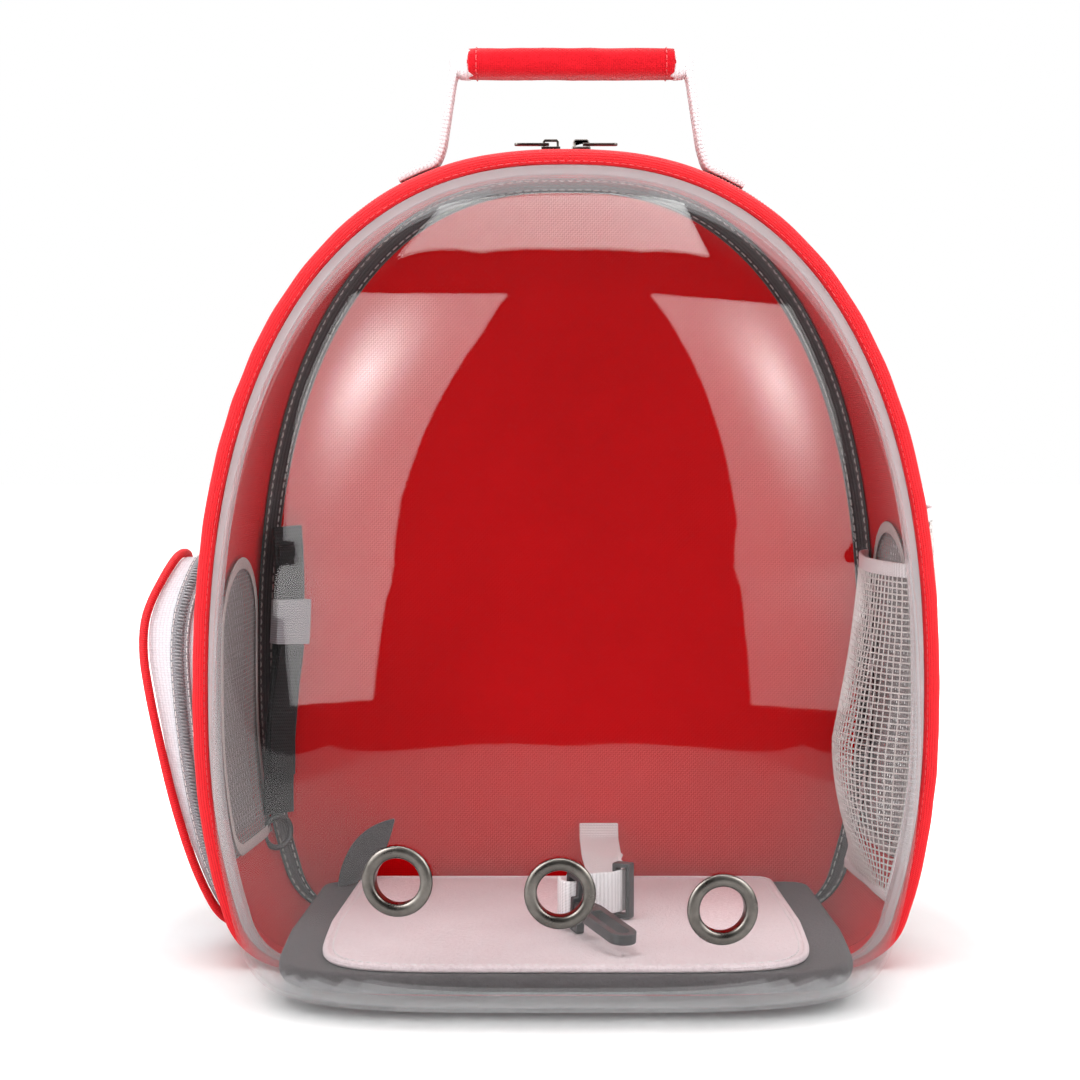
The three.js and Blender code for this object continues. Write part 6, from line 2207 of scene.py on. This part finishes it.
@dataclass
class Studio:
    """White room, pale floor, soft lights, and the cards that only the plastic mirrors."""

    place: tuple[float, float, float] = (0.0, -1.3352, 0.3041)
    tilt: float = math.radians(4.409)
    lens: float = 90.24
    shift: float = -26 / 1080

    def camera(self) -> None:
        """The photograph's viewpoint."""
        made = bpy.data.cameras.new("Viewpoint")
        made.lens = self.lens
        made.sensor_width = 36
        made.shift_x = self.shift
        made.clip_start = 0.05
        eye = bpy.data.objects.new("Viewpoint", made)
        eye.location = self.place
        eye.rotation_euler = (math.pi / 2 - self.tilt, 0, 0)
        bpy.context.scene.collection.objects.link(eye)
        bpy.context.scene.camera = eye

    def room(self) -> None:
        """White to the camera, grey to cloth, and to gloss a white wall behind and a dark front."""
        world = bpy.data.worlds.new("Room")
        bpy.context.scene.world = world
        world.use_nodes = True
        tree = world.node_tree
        surface = tree.nodes["Background"]
        surface.inputs["Color"].default_value = (1, 1, 1, 1)
        way = tree.nodes.new("ShaderNodeSeparateXYZ")
        tree.links.new(tree.nodes.new("ShaderNodeTexCoord").outputs["Generated"], way.inputs[0])
        behind = tree.nodes.new("ShaderNodeMapRange")
        for slot, value in enumerate((0.15, 0.75, 0.05, 0.9), 1):
            behind.inputs[slot].default_value = value
        tree.links.new(way.outputs["Y"], behind.inputs[0])
        seen = tree.nodes.new("ShaderNodeLightPath")
        level: Socket | None = None
        for ray, value in (("Is Glossy Ray", behind.outputs[0]), ("Is Camera Ray", 1.0)):
            mix = tree.nodes.new("ShaderNodeMix")
            tree.links.new(seen.outputs[ray], mix.inputs[0])
            for slot, source in ((2, 0.42 if level is None else level), (3, value)):
                if isinstance(source, float):
                    mix.inputs[slot].default_value = source
                else:
                    tree.links.new(source, mix.inputs[slot])
            level = mix.outputs[0]
        tree.links.new(level, surface.inputs["Strength"])

    def floor(self) -> None:
        """A pale floor whose own light grows away from the middle, so that it meets the room's white."""
        corners = np.array(
            [[[-4.5, -4.5, 0], [0, -1.15, 0], [4.5, -4.5, 0]], [[-4.5, 4, 0], [0, 4, 0], [4.5, 4, 0]]]
        )
        graph = Graph("pale_floor")
        grain = graph.noise(30, 2)
        away = graph.node(
            "ShaderNodeVectorMath", {0: graph.place.outputs["Object"]}, operation="LENGTH"
        ).outputs["Value"]
        finish = graph.dress(
            Base_Color=graph.colours(grain, (0.82, 0.82, 0.82), (0.86, 0.86, 0.86)),
            Roughness=0.6,
            Specular_IOR_Level=0.2,
            Emission_Color=(1, 1, 1, 1),
            Emission_Strength=graph.span(away, 0.2, 0.38, 0.0, 0.8),
        )
        piece = Skin.grid(corners).build("floor", finish)

    def lamp(
        self, name: str, at: Sequence[float], aim: Sequence[float], size: tuple[float, float],
        power: float
    ) -> None:
        """A soft rectangular light.

        Args:
            name: Its name.
            at: Its place.
            aim: The point that it faces.
            size: Width and height.
            power: Watts.
        """
        light = bpy.data.lights.new(name, "AREA")
        light.shape = "RECTANGLE"
        light.size, light.size_y = size
        light.energy = power
        lamp = bpy.data.objects.new(name, light)
        lamp.location = at
        lamp.rotation_euler = (Vector(aim) - Vector(at)).to_track_quat("-Z", "Y").to_euler()
        lamp.visible_camera = False
        lamp.visible_glossy = False
        bpy.context.scene.collection.objects.link(lamp)

    def mirrored(self, bubble: Bubble, spots: Array, far: float) -> Array:
        """Where the camera's rays end once the bubble has turned them away.

        A ray d is followed to where the bubble's field falls to 1, by even steps and then by halving. With n
        the field's slope there, it goes on along d - 2 (d . n) n.

        Args:
            bubble: The bubble that mirrors them.
            spots: Places in the picture, from its middle, in 1080ths of its width: any shape by two.
            far: How far the rays go on.

        Returns:
            Their ends, the same shape by three.
        """
        turn = Matrix.Rotation(math.pi / 2 - self.tilt, 3, "X")
        reach = self.lens / 36 * 1080
        local = np.concatenate([spots, np.full(spots.shape[:-1] + (1,), -reach)], -1)
        ray = unit(local) @ np.array(turn).T

        def level(at: Array) -> Array:
            """The field at points of the room."""
            return bubble.field(at[..., 0], bubble.form.flange - at[..., 1], at[..., 2], 0.0)

        gone = np.full(spots.shape[:-1], 1.0)
        for step in (0.002, 0.0001, 0.000005):
            for _ in range(300):
                gone = np.where(
                    level(np.array(self.place) + ray * gone[..., None]) > 1, gone + step, gone
                )
            gone -= step
        at = np.array(self.place) + ray * gone[..., None]
        slope = np.stack([level(at + way) - level(at - way) for way in np.eye(3) * 1e-4], -1)
        out = unit(slope)
        return at + (ray - 2 * np.sum(ray * out, -1, keepdims=True) * out) * far

    def card(
        self, name: str, bubble: Bubble, edges: Array, strong: float, weak: float, spot: float = 0.0
    ) -> None:
        """A glowing card that gloss alone sees, standing where the bubble mirrors it at given places.

        Args:
            name: Its name.
            bubble: The bubble that mirrors it.
            edges: Two of its edges as the picture shows them, in its pixels: 2 by points by 2.
            strong: How bright it is at its top.
            weak: How bright it is at its foot.
            spot: How much brighter it is at the middle of its glow.
        """
        share = np.linspace(0, 1, 9)[:, None, None]
        spots = (edges[0] + (edges[1] - edges[0]) * share - [566, 540]) * [1, -1]
        graph = Graph(name)
        down, over = graph.two_axes(Lie.UV)
        off = graph.node(
            "ShaderNodeCombineXYZ",
            {0: graph.math("SUBTRACT", down, 0.31), 1: graph.math("SUBTRACT", over, 0.5)}
        )
        away = graph.node(
            "ShaderNodeVectorMath", {0: off.outputs[0]}, operation="LENGTH"
        ).outputs["Value"]
        glow = graph.math("POWER", graph.span(away, 0.0, 0.42, 1.0, 0.0), 2.0)
        level = graph.math(
            "ADD", graph.span(down, 0.1, 0.9, strong, weak), graph.math("MULTIPLY", glow, spot)
        )
        light = graph.node("ShaderNodeEmission", {"Strength": level})
        graph.tree.links.new(light.outputs[0], graph.tree.nodes["Material Output"].inputs["Surface"])
        skin = Skin.grid(self.mirrored(bubble, spots, 1.5))
        skin.uvs = [uv / uv.reshape(-1, 2).max(0) for uv in skin.uvs]
        piece = skin.build(name, graph.material)
        for kind in ("camera", "diffuse", "transmission", "shadow", "volume_scatter"):
            setattr(piece, "visible_" + kind, False)

    def build(self) -> None:
        """Set up the view, the room and the light."""
        scene = bpy.context.scene
        scene.view_settings.view_transform = "Standard"
        scene.view_settings.look = "None"
        scene.cycles.use_denoising = True
        scene.cycles.transparent_max_bounces = 24
        scene.cycles.max_bounces = 10
        self.camera()
        self.room()
        self.floor()
        self.lamp("top_light", (0.0, -0.5, 1.7), (0, -0.05, 0.15), (1.6, 1.2), 26)
        self.lamp("left_light", (-1.5, -1.1, 0.8), (0, 0, 0.2), (0.8, 1.4), 12)
        self.lamp("right_light", (1.5, -1.1, 0.8), (0, 0, 0.2), (0.8, 1.4), 12)
        self.lamp("front_light", (0.2, -2.4, 1.0), (0, 0, 0.15), (1.4, 1.0), 8)
        self.lamp("rear_light", (0.0, 1.8, 1.1), (0, 0, 0.2), (1.8, 1.2), 16)
        bubble = Bubble(Form())
        left = [[(508, 293), (480, 335), (450, 380), (420, 440), (400, 500), (385, 600), (372, 700)],
                [(352, 293), (322, 345), (300, 400), (288, 460), (283, 540), (283, 620), (290, 706)]]
        right = [[(650, 293), (682, 340), (708, 395), (725, 450), (738, 520), (745, 620), (752, 705)],
                 [(790, 305), (815, 355), (835, 410), (847, 470), (855, 540), (856, 630), (848, 712)]]
        top = [[(396, 257), (480, 251), (568, 248), (640, 250), (710, 256)],
               [(440, 206), (500, 196), (568, 192), (630, 195), (684, 203)]]
        self.card("left_card", bubble, np.array(left, float), 7, 5.5, 24)
        self.card("right_card", bubble, np.array(right, float), 7, 3.5, 18)
        self.card("top_card", bubble, np.array(top, float), 9, 12)


def main() -> None:
    """Build the carrier from the frame outwards and report each piece."""
    logging.basicConfig(level=logging.INFO, format="%(name)s: %(message)s")
    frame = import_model()
    log.info("the frame has %d nodes", len(frame["nodes"]))
    Studio().build()
    form = Form()
    for part in (
        Bubble(form), FrontEdge(form), Body(form), RightNets(form), SidePocket(form), FloorLayers(form),
        Handle(form), CornerStrap(form), Leash(form), ShoulderStraps(form),
    ):
        log.info("building %s", type(part).__name__)
        part.build()


if __name__ == "__main__":
    main()
